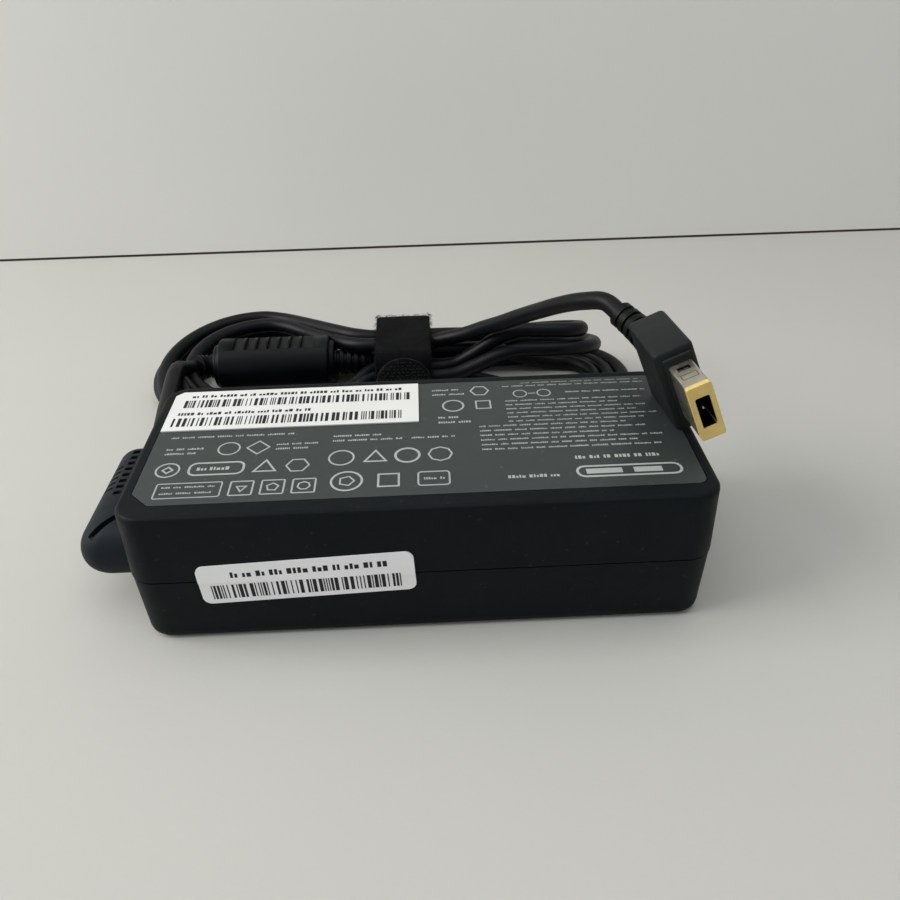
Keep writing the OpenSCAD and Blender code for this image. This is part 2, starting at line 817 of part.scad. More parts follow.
module bridge_rectifier() {
  w = sink_w / 2 - 1.5;
  color([0.12, 0.12, 0.12]) on_board(switch_x, -w / 2) {
    translate([0, -w / 2, 3]) cube([chip_t - 0.8, w, chip_h]);
    for (k = [-1.5, -0.5, 0.5, 1.5]) {
      translate([(chip_t - 0.8) / 2, k * w / 4, 0]) cylinder(r = 0.5, h = 3.5, $fn = 24);
    }
  }
}

module filter_capacitor() {
  color([0.85, 0.75, 0.2]) on_board(filter_x, edge_gap - board_y) {
    cube([filter_t, filter_w, filter_h]);
  }
}

module choke_core() {
  color([0.25, 0.25, 0.25]) {
    translate([choke_x, choke_y, board_top + choke_r + choke_wind]) rotate([0, 90, 0]) {
      difference() {
        cylinder(r = choke_r, h = choke_t);
        translate([0, 0, -1]) cylinder(r = choke_r - 3.2, h = choke_t + 2);
      }
    }
  }
}

// Two windings, one on each side of the core, each a band round its section.
module choke_winding() {
  wind = choke_wind;
  color([0.72, 0.4, 0.15]) {
    translate([choke_x - wind, choke_y, board_top + choke_r + wind]) {
      rotate([0, 90, 0]) for (a = [-65, 115]) rotate([0, 0, a]) difference() {
        rotate_extrude(angle = 130) {
          translate([choke_r - 3.2 - wind, 0]) square([3.2 + 2 * wind, choke_t + 2 * wind]);
        }
        translate([0, 0, wind]) difference() {
          cylinder(r = choke_r, h = choke_t);
          translate([0, 0, -1]) cylinder(r = choke_r - 3.2, h = choke_t + 2);
        }
      }
    }
  }
}

module fuse() {
  color([0.2, 0.12, 0.08]) on_board(fuse_x, fuse_y) {
    cylinder(r = fuse_r, h = 8);
  }
}

module safety_capacitor() {
  color([0.2, 0.35, 0.6]) {
    translate([bulk_x, edge_gap - board_y, board_top + 4]) {
      rotate([-90, 0, 0]) cylinder(r = 4, h = 3);
    }
  }
}

module optocoupler() {
  color([0.9, 0.9, 0.88]) on_board(trafo_x + 1, edge_gap - board_y) {
    difference() {
      cube([6.5, 3, 4.2]);
      translate([0, 1.5, 4.2]) sphere(r = 0.5, $fn = 24);
    }
  }
}

module heat_spreader() {
  color([0.78, 0.79, 0.8]) translate([0, 0, ceiling - spreader_t]) {
    linear_extrude(spreader_t) spreader_outline(0);
  }
}

module insulation_film() {
  color([0.85, 0.85, 0.8]) translate([0, 0, ceiling - spreader_t - film_t]) {
    linear_extrude(film_t) spreader_outline(0.4);
  }
}

module spreader_outline(grow) {
  x0 = board_x0 + 2 * post_edge + 1 - grow;
  x1 = board_x1 - 2 * post_edge - 1 + grow;
  w = body_w - 2 * wall - 4 + 2 * grow;
  translate([(x0 + x1) / 2, 0]) rounded_rect(x1 - x0, w, 2);
}

// Insulated wires from the neck down to the board.
module output_wire(y, x) {
  top = [-half_l + wall + 2, -relief_y + y, relief_z];
  swept([
    top, top + [0.8, 0, 0], [x - 0.7, top.y, top.z - 0.5], [x, top.y, top.z - 1.8],
    [x, top.y, board_top + 0.6], [x, top.y, board_top]
  ], 0.65, 8, [0, 1, 0]);
}

module positive_wire() {
  color([0.7, 0.1, 0.1]) output_wire(-1.8, board_x0 + 4.4);
}

module return_wire() {
  color([0.1, 0.1, 0.1]) output_wire(0, board_x0 + 4.4);
}

module sense_wire() {
  color([0.85, 0.85, 0.85]) output_wire(1.8, board_x0 + 4.4);
}

// ---------- outlet strain relief ----------

// Elbow with a round corner, a neck held by the shells and a slotted sleeve.
module cord_strain_relief() {
  color([0.1, 0.11, 0.13]) difference() {
    union() {
      translate([sleeve_x, -relief_y, relief_z]) sphere(r = relief_r);
      translate([sleeve_x, -relief_y, relief_z]) rotate([0, 90, 0]) {
        cylinder(r = relief_r - 0.15, h = relief_x - sleeve_x);
      }
      translate([sleeve_x, -relief_y, relief_z]) rotate([-90, 0, 0]) {
        rotate_extrude() polygon([
          [0, 0], [sleeve_r, 0], [sleeve_r, sleeve_l - 1.6], [sleeve_r - 0.5, sleeve_l - 0.5],
          [sleeve_r - 1.6, sleeve_l], [0, sleeve_l]
        ]);
      }
      translate([relief_x, -relief_y, relief_z]) rotate([0, 90, 0]) {
        cylinder(r = neck_r, h = wall + 2.2);
      }
      translate([-half_l + wall + 0.5, -relief_y, relief_z]) rotate([0, 90, 0]) {
        cylinder(r = neck_r + 0.8, h = 1.5);
      }
    }
    // Slot over the round corner, from its outer to its inner side.
    translate([sleeve_x, -relief_y, relief_z + relief_r - 1.4]) rotate([0, 0, 45]) {
      translate([-relief_r, -mitre_slot / 2, 0]) cube([2 * relief_r, mitre_slot, 3]);
    }
    // Slots from the brick side and notches from the outer side.
    for (i = [0:relief_slots - 1]) {
      translate([sleeve_x, sleeve_place(i, relief_slots, 6, 2.2), relief_z]) {
        rotate([0, 24, 0]) translate([-0.8, -0.55, sleeve_r - 1]) cube([1.6, 1.1, 3]);
      }
    }
    for (i = [0:relief_notches - 1]) {
      translate([sleeve_x, sleeve_place(i, relief_notches, 9, 8), relief_z]) {
        rotate([0, -52, 0]) translate([-2.4, -0.35, sleeve_r - 0.6]) cube([4.8, 0.7, 3]);
      }
    }
  }
}

// Middle of slot i of n, spread from a past the elbow to b before the tip.
function sleeve_place(i, n, a, b) = a - relief_y + i * (sleeve_l - a - b) / (n - 1);

// ---------- cord, ferrite and strap ----------

module cord_lead() {
  color([0.05, 0.05, 0.055]) swept(lead_path, cord_d / 2, 8);
}

module cord_through_ferrite() {
  color([0.05, 0.05, 0.055]) swept(through_path, cord_d / 2, 8);
}

module cord_hank() {
  color([0.05, 0.05, 0.055]) swept(hank_path, cord_d / 2, 6);
}

module cord_tail() {
  color([0.05, 0.05, 0.055]) swept(tail_path, cord_d / 2, 8);
}

module along_ferrite(x) {
  translate([x, ferrite_y, ferrite_z]) rotate([0, 90, 0]) children();
}

module ferrite_housing() {
  bore = cord_d / 2 + 0.2;
  color([0.06, 0.06, 0.065]) difference() {
    union() {
      along_ferrite(ferrite_x - collar_l) rotate_extrude() polygon([
        [0, 0], [collar_r - 0.4, 0], [collar_r, 0.4], [collar_r, collar_l],
        [ferrite_r - 0.6, collar_l], [ferrite_r, collar_l + 0.6],
        [ferrite_r, collar_l + ferrite_l - 0.6],
        [ferrite_r - 0.6, collar_l + ferrite_l],
        [collar_r, collar_l + ferrite_l], [collar_r, 2 * collar_l + ferrite_l - 0.4],
        [collar_r - 0.4, 2 * collar_l + ferrite_l], [0, 2 * collar_l + ferrite_l]
      ]);
      for (i = [0:ferrite_ribs - 1]) {
        translate([ferrite_x + 4 + i * 1.6, ferrite_y - 2, 2 * ferrite_r - 0.6]) {
          cube([0.7, 4, 0.75]);
        }
      }
    }
    along_ferrite(ferrite_x - 5) cylinder(r = bore, h = ferrite_l + 12);
    along_ferrite(ferrite_x + (ferrite_l - core_l) / 2) cylinder(r = core_r, h = core_l);
  }
}

module ferrite_core() {
  color([0.3, 0.3, 0.31]) along_ferrite(ferrite_x + (ferrite_l - core_l) / 2) {
    difference() {
      cylinder(r = core_r, h = core_l);
      translate([0, 0, -1]) cylinder(r = cord_d / 2 + 0.3, h = core_l + 2);
    }
  }
}

// Elbow boot that turns the lead into the ferrite.
module ferrite_boot_elbow() {
  color([0.06, 0.06, 0.065]) {
    translate(elbow_start + elbow_bend * elbow_up) rotate([-elbow_rise, 0, 0]) {
      rotate([0, 0, 90]) {
        rotate_extrude(angle = elbow_turn) translate([elbow_bend, 0]) circle(r = boot_r - 0.4);
        for (a = [9:16:elbow_turn - 8]) rotate([0, 0, a]) {
          rotate_extrude(angle = 8) translate([elbow_bend, 0]) circle(r = boot_r);
        }
      }
    }
  }
}

module ferrite_boot_straight() {
  color([0.06, 0.06, 0.065]) along_ferrite(ferrite_end) {
    difference() {
      union() {
        cylinder(r1 = 4.2, r2 = 2.8, h = cone_l);
        for (i = [0:2]) translate([0, 0, 1 + i * 2]) {
          cylinder(r = 4.5 - 0.4 * i, h = 0.9);
        }
      }
      translate([0, 0, -1]) cylinder(r = cord_d / 2 + 0.2, h = cone_l + 2);
    }
  }
}

module strap_band() {
  color([0.03, 0.03, 0.03]) translate([strap_x - strap_w / 2, strap_y, strap_h / 2]) {
    rotate([90, 0, 90]) linear_extrude(strap_w) difference() {
      rounded_rect(strap_d, strap_h, strap_r);
      rounded_rect(strap_d - 2 * strap_t, strap_h - 2 * strap_t, strap_r - strap_t);
    }
  }
}

// Loose hook end of the strap, flat on the front of the band.
module strap_tab() {
  r = strap_w / 2;
  color([0.04, 0.04, 0.04]) {
    translate([strap_x, strap_y - strap_d / 2, tab_z]) rotate([90, 0, 0]) {
      linear_extrude(strap_t) {
        translate([-r, 0]) square([strap_w, tab_l - r]);
        intersection() {
          translate([0, tab_l - r]) circle(r = r);
          translate([-r, 0]) square([strap_w, tab_l]);
        }
      }
    }
  }
}

// ---------- plug ----------

module in_plug_frame() {
  translate(plug_at) rotate(plug_turn) children();
}

// Upright rectangle along the plug, from y to y + l.
module plug_bar(w, h, r, y, l) {
  translate([0, y + l, 0]) rotate([90, 0, 0]) linear_extrude(l) rounded_rect(w, h, r);
}

module plug_body() {
  color([0.13, 0.14, 0.14]) in_plug_frame() difference() {
    union() {
      plug_bar(plug_w, plug_h, plug_edge, tip_l, plug_l);
      plug_bar(plug_w - 1.2, plug_h - 3, plug_edge, tip_l - 0.6, plug_l);
    }
    plug_bar(tip_w, tip_h, 0.5, tip_l - 1, 4);
  }
}

module plug_shield() {
  color([0.72, 0.71, 0.66]) in_plug_frame() difference() {
    plug_bar(tip_w, tip_h, 0.5, nose_l, tip_l - nose_l + 3);
    plug_bar(tip_w - 2 * sleeve_t, tip_h - 2 * sleeve_t, 0.3, nose_l - 1, tip_l + 6);
    translate([-1.2, tip_l - 3.6, tip_h / 2 - 1]) cube([2.4, 1.6, 2]);
  }
}

module plug_insulator() {
  inner_w = tip_w - 2 * sleeve_t;
  inner_h = tip_h - 2 * sleeve_t;
  color([0.83, 0.7, 0.35]) in_plug_frame() difference() {
    union() {
      plug_bar(tip_w, tip_h, 0.5, 0, nose_l);
      plug_bar(inner_w, inner_h, 0.3, nose_l - 0.1, tip_l - nose_l + 3.1);
    }
    plug_bar(2.7, 6.4, 0.4, -1, 9.5);
    translate([-1.2, tip_l - 3.6, inner_h / 2 - 0.7]) cube([2.4, 1.6, 2]);
  }
}

module plug_latch() {
  color([0.85, 0.84, 0.8]) in_plug_frame() {
    translate([-0.9, tip_l - 3.3, tip_h / 2 - sleeve_t - 0.7]) cube([1.8, 0.7, 0.8]);
  }
}

module plug_centre_pin() {
  color([0.8, 0.8, 0.75]) in_plug_frame() {
    translate([0, 2, 0]) rotate([-90, 0, 0]) cylinder(r = centre_pin_r, h = 6.5);
    translate([0, 2, 0]) sphere(r = centre_pin_r);
  }
}

module plug_boot() {
  color([0.07, 0.07, 0.075]) in_plug_frame() translate([0, tip_l + plug_l, 0]) {
    rotate([0, boot_lean, 0]) {
      rotate([-90, 0, 0]) cylinder(r = 3.3, h = boot_collar);
      translate([-boot_bend, boot_collar, 0]) {
        rotate_extrude(angle = boot_angle) translate([boot_bend, 0]) circle(r = 2.5);
        for (i = [0:boot_ribs - 1]) rotate([0, 0, boot_step * (i + 0.5)]) {
          translate([boot_bend, -0.7, 0]) rotate([-90, 0, 0]) {
            cylinder(r = 3.4 - 0.1 * i, h = 1.4);
          }
        }
      }
    }
  }
}

upper_shell();
lower_shell();
rating_label();
label_sticker();
side_sticker();
inlet_housing();
line_pin();
neutral_pin();
earth_pin();
circuit_board();
output_capacitor_a();
output_capacitor_b();
output_rectifier();
secondary_heat_sink();
transformer_core();
transformer_bobbin();
bulk_capacitor();
primary_heat_sink();
switching_transistor();
bridge_rectifier();
filter_capacitor();
choke_core();
choke_winding();
fuse();
safety_capacitor();
optocoupler();
heat_spreader();
insulation_film();
positive_wire();
return_wire();
sense_wire();
cord_strain_relief();
cord_lead();
cord_through_ferrite();
cord_hank();
cord_tail();
ferrite_housing();
ferrite_core();
ferrite_boot_elbow();
ferrite_boot_straight();
strap_band();
strap_tab();
plug_body();
plug_shield();
plug_insulator();
plug_latch();
plug_centre_pin();
plug_boot();
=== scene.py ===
"""Looks of the laptop power adapter: camera, cord, stage, light, materials and the detailed pieces.

Metres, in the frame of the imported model. Named sizes are in millimetres.
"""

import math
import random
from collections import namedtuple

import bmesh
import bpy
from mathutils import Matrix, Vector


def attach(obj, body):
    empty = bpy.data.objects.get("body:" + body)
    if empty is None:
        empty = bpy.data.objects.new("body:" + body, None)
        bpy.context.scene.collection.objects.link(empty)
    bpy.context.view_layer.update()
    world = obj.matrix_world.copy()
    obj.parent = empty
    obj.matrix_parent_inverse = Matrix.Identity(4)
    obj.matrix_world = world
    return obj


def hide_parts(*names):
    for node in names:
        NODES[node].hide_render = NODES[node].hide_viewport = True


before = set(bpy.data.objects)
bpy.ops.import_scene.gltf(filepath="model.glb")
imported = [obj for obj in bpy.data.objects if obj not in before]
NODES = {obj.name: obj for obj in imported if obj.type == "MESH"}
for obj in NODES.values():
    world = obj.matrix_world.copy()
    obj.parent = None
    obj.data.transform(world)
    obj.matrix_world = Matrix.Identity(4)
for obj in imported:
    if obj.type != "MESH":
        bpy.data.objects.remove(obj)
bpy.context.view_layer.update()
MM = 0.001
scene = bpy.context.scene
scene.view_settings.view_transform = "Standard"

# Sizes and places in millimetres that part.scad has too, or that follow from its sizes.
CORD_D = 4.1
STRAP_X, STRAP_Y = -4.1, 71.0
STRAP_W, STRAP_D, STRAP_H, STRAP_R = 15.0, 28.0, 16.5, 4.0
TAB_L, TAB_BACK, TAB_FRONT, TAB_Z = 14.6, 57.0, 56.0, 1.6
FERRITE_Y, FERRITE_Z = 72.8, 7.5
TIP_L, PLUG_L = 10.5, 16.7
LABEL_TOP, STICKER_TOP = 29.5, 29.75
SEAM_Z = 14.8
# How far a print lies over its paper, and where the wall behind the object stands.
INK_GAP = 0.02
WALL_Y = 180.0


# ---------- camera ----------

CAMERA_AT = (2.23, -131.82, 117.1)
CAMERA_YAW, CAMERA_PITCH, CAMERA_ROLL = 1.65, 34.69, -1.42
CAMERA_LENS = 32.48


def add_camera():
    yaw, pitch, roll = (math.radians(a) for a in (CAMERA_YAW, CAMERA_PITCH, CAMERA_ROLL))
    ahead = Vector((math.sin(yaw) * math.cos(pitch), math.cos(yaw) * math.cos(pitch), -math.sin(pitch)))
    level = Vector((math.cos(yaw), -math.sin(yaw), 0))
    upright = level.cross(ahead)
    right = math.cos(roll) * level + math.sin(roll) * upright
    up = -math.sin(roll) * level + math.cos(roll) * upright
    data = bpy.data.cameras.new("camera")
    data.lens = CAMERA_LENS
    data.sensor_width = 36
    data.clip_start = 0.01
    data.clip_end = 10
    cam = bpy.data.objects.new("camera", data)
    turn = Matrix((right, up, -ahead)).transposed().to_4x4()
    cam.matrix_world = Matrix.Translation(Vector(CAMERA_AT) * MM) @ turn
    scene.collection.objects.link(cam)
    scene.camera = cam


add_camera()


# ---------- node materials ----------

def lin(r, g, b):
    """An sRGB colour of 0 to 255 as linear RGBA."""
    def one(v):
        v /= 255
        return v / 12.92 if v <= 0.04045 else ((v + 0.055) / 1.055) ** 2.4
    return (one(r), one(g), one(b), 1)


def node(nt, kind, **sockets):
    """A new shader node; each keyword is an input socket or else a property."""
    n = nt.nodes.new(kind)
    for k, v in sockets.items():
        if k in n.inputs:
            n.inputs[k].default_value = v
        else:
            setattr(n, k, v)
    return n


def noise(nt, coord, scale, detail=3, rough=0.5, distortion=0):
    n = node(nt, "ShaderNodeTexNoise", Scale=scale, Detail=detail, Roughness=rough, Distortion=distortion)
    nt.links.new(coord, n.inputs["Vector"])
    return n.outputs["Fac"]


def ranged(nt, fac, a, b, low=0.3, high=0.7):
    """fac from low to high, as a to b."""
    n = node(nt, "ShaderNodeMapRange")
    n.inputs["From Min"].default_value = low
    n.inputs["From Max"].default_value = high
    n.inputs["To Min"].default_value = a
    n.inputs["To Max"].default_value = b
    nt.links.new(fac, n.inputs["Value"])
    return n.outputs["Result"]


def mixed(nt, fac, a, b):
    n = node(nt, "ShaderNodeMix", data_type="RGBA")
    # Sockets 6 and 7 are the colours of an RGBA mix, and output 2 is its result.
    for i, v in ((6, a), (7, b)):
        if isinstance(v, tuple):
            n.inputs[i].default_value = v
        else:
            nt.links.new(v, n.inputs[i])
    nt.links.new(fac, n.inputs[0])
    return n.outputs[2]


def bumped(nt, height, distance, strength=1.0, under=None):
    n = node(nt, "ShaderNodeBump", Distance=distance, Strength=strength)
    nt.links.new(height, n.inputs["Height"])
    if under is not None:
        nt.links.new(under, n.inputs["Normal"])
    return n.outputs["Normal"]


def scaled(colour, factor):
    """Linear RGBA, with its colour times factor."""
    return tuple(c * factor for c in colour[:3]) + (1,)


def start(name):
    """A material with its nodes, its shader and object coordinates."""
    m = bpy.data.materials.new(name)
    m.use_nodes = True
    nt = m.node_tree
    shader = nt.nodes["Principled BSDF"]
    coord = nt.nodes.new("ShaderNodeTexCoord").outputs["Object"]
    return m, nt, shader, coord


def moulded(name, colour, rough=(0.42, 0.55), tint=0.12, grain=3200, depth=0.00002, spec=0.35,
            cloud=60, flecks=0.0, fleck_colour=(150, 150, 146)):
    """Moulded plastic: a fine spark-eroded grain, uneven gloss, slow colour drift and a little lint."""
    m, nt, shader, coord = start(name)
    base = lin(*colour)
    drift = noise(nt, coord, cloud, 4, 0.6)
    colour_out = mixed(nt, ranged(nt, drift, 0, 1), scaled(base, 1 - tint), scaled(base, 1 + tint))
    fine = noise(nt, coord, grain, 2, 0.6)
    if flecks:
        spots = noise(nt, coord, 900, 1, 0.4)
        colour_out = mixed(nt, ranged(nt, spots, 0, flecks, 0.735, 0.765), colour_out, lin(*fleck_colour))
    nt.links.new(colour_out, shader.inputs["Base Color"])
    smear = noise(nt, coord, 140, 5, 0.65, 0.4)
    nt.links.new(ranged(nt, smear, rough[0], rough[1]), shader.inputs["Roughness"])
    nt.links.new(bumped(nt, fine, depth), shader.inputs["Normal"])
    shader.inputs["Specular IOR Level"].default_value = spec
    return m


def metal(name, colour, rough=(0.22, 0.4), stretch=(1, 1, 1), scale=1800, depth=0.000004):
    """Plated sheet: fine drawn lines, patches of duller plating."""
    m, nt, shader, coord = start(name)
    mapping = node(nt, "ShaderNodeMapping", Scale=stretch)
    nt.links.new(coord, mapping.inputs["Vector"])
    lines = noise(nt, mapping.outputs["Vector"], scale, 3, 0.6)
    patch = noise(nt, coord, 400, 3, 0.6)
    base = lin(*colour)
    nt.links.new(mixed(nt, ranged(nt, patch, 0, 1), scaled(base, 0.8), base), shader.inputs["Base Color"])
    nt.links.new(ranged(nt, patch, rough[0], rough[1]), shader.inputs["Roughness"])
    nt.links.new(bumped(nt, lines, depth), shader.inputs["Normal"])
    shader.inputs["Metallic"].default_value = 1.0
    return m


def paper(name, colour):
    """Coated paper: faint fibres and a soft gloss."""
    m, nt, shader, coord = start(name)
    fibre = noise(nt, coord, 1500, 4, 0.7, 0.8)
    cloud = noise(nt, coord, 90, 3)
    base = lin(*colour)
    nt.links.new(mixed(nt, ranged(nt, cloud, 0, 1), scaled(base, 0.94), base), shader.inputs["Base Color"])
    nt.links.new(ranged(nt, fibre, 0.42, 0.6), shader.inputs["Roughness"])
    nt.links.new(bumped(nt, fibre, 0.000008), shader.inputs["Normal"])
    shader.inputs["Specular IOR Level"].default_value = 0.35
    return m


def fabric(name, colour, light, sheen, scale=2600, speck=0.5, rough=(0.8, 0.95), depth=0.0002):
    """Brushed loop or hook tape: a bumpy pile with painted shade in its pits, and paler lint caught in it.
    """
    m, nt, shader, coord = start(name)
    cells = node(nt, "ShaderNodeTexVoronoi", Scale=scale, Randomness=0.9)
    nt.links.new(coord, cells.inputs["Vector"])
    fuzz = noise(nt, coord, scale * 0.6, 4, 0.7, 0.6)
    # Painted shade: the tape is darkened to 0.35 of its colour where the bump of the pile is lowest.
    pit_shade = ranged(nt, cells.outputs["Distance"], 1, 0, 0.1, 0.6)
    base = mixed(nt, pit_shade, lin(*colour), scaled(lin(*colour), 0.35))
    lint = ranged(nt, fuzz, 0, speck, 0.56, 0.7)
    nt.links.new(mixed(nt, lint, base, lin(*light)), shader.inputs["Base Color"])
    nt.links.new(ranged(nt, fuzz, rough[0], rough[1]), shader.inputs["Roughness"])
    under = bumped(nt, cells.outputs["Distance"], depth, 0.8)
    nt.links.new(bumped(nt, fuzz, depth, 0.6, under), shader.inputs["Normal"])
    shader.inputs["Specular IOR Level"].default_value = 0.1
    shader.inputs["Sheen Weight"].default_value = sheen
    shader.inputs["Sheen Roughness"].default_value = 0.5
    return m


HOUSING = moulded("housing_plastic", (12, 17, 20), (0.44, 0.6), 0.12, 3600, 0.000025, 0.12, flecks=0.03)
LABEL = moulded("label_film", (52, 58, 58), (0.36, 0.46), 0.06, 5000, 0.000008, 0.42, flecks=0.1)
STICKER = paper("sticker_paper", (232, 232, 229))
# Painted light: the front sticker's paper is whiter than the top sticker's, so that it looks as bright on
# the less lit front face.
SIDE_PAPER_PAINTED_LIGHT = paper("side_sticker_paper_painted_light", (254, 254, 254))
INK_BLACK = moulded("ink_black", (26, 27, 30), (0.45, 0.6), 0.2, 4000, 0.000006, 0.3)
INK_PALE = moulded("ink_pale", (168, 174, 170), (0.4, 0.55), 0.12, 4000, 0.000006, 0.35)
INLET = moulded("inlet_plastic", (12, 13, 15), (0.35, 0.5), 0.12, 3600, 0.00002, 0.2)
RELIEF = moulded("relief_rubber", (26, 31, 37), (0.5, 0.66), 0.12, 2600, 0.00003, 0.16)
MOULDING = moulded("cord_moulding", (7, 10, 12), (0.36, 0.5), 0.12, 2600, 0.00002, 0.16)
JACKET = moulded("cord_jacket", (6, 8, 11), (0.36, 0.5), 0.15, 3000, 0.00002, 0.2)
GRIP = moulded("plug_plastic", (24, 28, 28), (0.42, 0.56), 0.08, 3400, 0.00002, 0.2)
YELLOW = moulded("plug_nose", (222, 194, 116), (0.35, 0.5), 0.1, 2600, 0.00002, 0.4, cloud=220,
                 flecks=0.3, fleck_colour=(140, 104, 50))
SHIELD = metal("plug_shield_metal", (214, 209, 192), (0.26, 0.42), (1, 0.12, 1))
# Painted shade: the sleeve's metal at about half its brightness, for the shade along the stamped frame.
SHIELD_STAMP_SHADE = metal("plug_stamp_painted_shade", (120, 117, 106), (0.3, 0.5), (1, 0.12, 1))
# Painted shade: a dark brown for the shadowed insides of the socket and of the latch window.
SOCKET_SHADE = moulded("plug_opening_painted_shade", (22, 10, 8), (0.4, 0.6), 0.2, 2600, 0.00001, 0.2)
NICKEL = metal("pin_nickel", (205, 203, 196), (0.18, 0.32), (0.1, 1, 1))
LOOP = fabric("loop_tape", (3, 5, 6), (30, 32, 34), 0.03)
HOOK = fabric("hook_tape", (8, 9, 11), (88, 89, 90), 0.1, 1700, 0.3)
LINT = moulded("lint_fibre", (22, 23, 24), (0.7, 0.9), 0.4, 2000, 0.00001, 0.1, cloud=900)
HOOKS = moulded("hook_plastic", (40, 41, 43), (0.25, 0.4), 0.3, 2000, 0.00001, 0.4, cloud=1500)
BOARD = moulded("board_laminate", (30, 92, 52), (0.35, 0.5), 0.15, 2600, 0.00002, 0.5)
CAN = moulded("capacitor_sleeve", (34, 42, 78), (0.3, 0.45), 0.15, 2600, 0.00002, 0.5)
BLACK = moulded("component_black", (24, 24, 25), (0.4, 0.6), 0.15, 3600, 0.00002, 0.4)
WHITE = moulded("component_white", (224, 224, 218), (0.4, 0.6), 0.06, 3600, 0.00002, 0.4)
SINK = metal("sink_aluminium", (186, 188, 192), (0.3, 0.5), (1, 1, 0.1))
FERRITE = moulded("ferrite_ceramic", (70, 70, 72), (0.55, 0.75), 0.2, 2400, 0.00004, 0.4)
BOBBIN = moulded("bobbin_tape", (200, 164, 66), (0.3, 0.5), 0.15, 1800, 0.00003, 0.5)
FILM_CAP = moulded("film_capacitor", (208, 184, 64), (0.3, 0.45), 0.1, 2600, 0.00002, 0.5)
WINDING = metal("winding_copper", (190, 104, 54), (0.25, 0.4), (1, 0.1, 1), 2400, 0.00003)
BLUE = moulded("ceramic_blue", (52, 96, 166), (0.25, 0.4), 0.1, 2600, 0.00002, 0.5)
FILM = moulded("insulation_film_amber", (214, 212, 200), (0.3, 0.4), 0.08, 2600, 0.00001, 0.5)
RED = moulded("wire_red", (176, 28, 26), (0.35, 0.5), 0.1, 2600, 0.00001, 0.4)
WIRE_BLACK = moulded("wire_black", (24, 24, 24), (0.35, 0.5), 0.1, 2600, 0.00001, 0.4)
WIRE_WHITE = moulded("wire_white", (222, 222, 218), (0.35, 0.5), 0.06, 2600, 0.00001, 0.4)

FINISH = {
    "upper_shell": HOUSING, "lower_shell": HOUSING, "rating_label": LABEL, "label_sticker": STICKER,
    "side_sticker": SIDE_PAPER_PAINTED_LIGHT, "inlet_housing": INLET, "line_pin": NICKEL, "neutral_pin": NICKEL,
    "earth_pin": NICKEL, "circuit_board": BOARD, "output_capacitor_a": CAN, "output_capacitor_b": CAN,
    "output_rectifier": BLACK, "secondary_heat_sink": SINK, "transformer_core": FERRITE,
    "transformer_bobbin": BOBBIN, "bulk_capacitor": BLACK, "primary_heat_sink": SINK,
    "switching_transistor": BLACK, "bridge_rectifier": BLACK, "filter_capacitor": FILM_CAP,
    "choke_core": FERRITE, "choke_winding": WINDING, "fuse": BLACK, "safety_capacitor": BLUE,
    "optocoupler": WHITE, "heat_spreader": SINK, "insulation_film": FILM, "positive_wire": RED,
    "return_wire": WIRE_BLACK, "sense_wire": WIRE_WHITE, "cord_strain_relief": RELIEF,
    "ferrite_core": FERRITE, "ferrite_housing": MOULDING, "ferrite_boot_elbow": MOULDING,
    "ferrite_boot_straight": MOULDING, "plug_body": GRIP, "plug_shield": SHIELD,
    "plug_insulator": YELLOW, "plug_latch": NICKEL, "plug_centre_pin": NICKEL, "plug_boot": MOULDING,
    "cord_lead": JACKET, "cord_through_ferrite": JACKET, "cord_hank": JACKET, "cord_tail": JACKET,
    "strap_band": LOOP, "strap_tab": HOOK,
}
for name, material in FINISH.items():
    for material_slot in NODES[name].material_slots:
        material_slot.material = material


# ---------- mesh helpers ----------

def piece(name, verts, faces, material, body="adapter", smooth=None):
    """A mesh piece in the row frame; verts in millimetres. smooth is the angle that stays sharp."""
    mesh = bpy.data.meshes.new(name)
    mesh.from_pydata([tuple(c * MM for c in v) for v in verts], [], faces)
    bm = bmesh.new()
    bm.from_mesh(mesh)
    bmesh.ops.recalc_face_normals(bm, faces=bm.faces)
    if smooth is not None:
        for f in bm.faces:
            f.smooth = True
        for e in bm.edges:
            if len(e.link_faces) == 2 and e.calc_face_angle(0) > math.radians(smooth):
                e.smooth = False
    bm.to_mesh(mesh)
    bm.free()
    mesh.materials.append(material)
    obj = bpy.data.objects.new(name, mesh)
    scene.collection.objects.link(obj)
    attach(obj, body)
    return obj


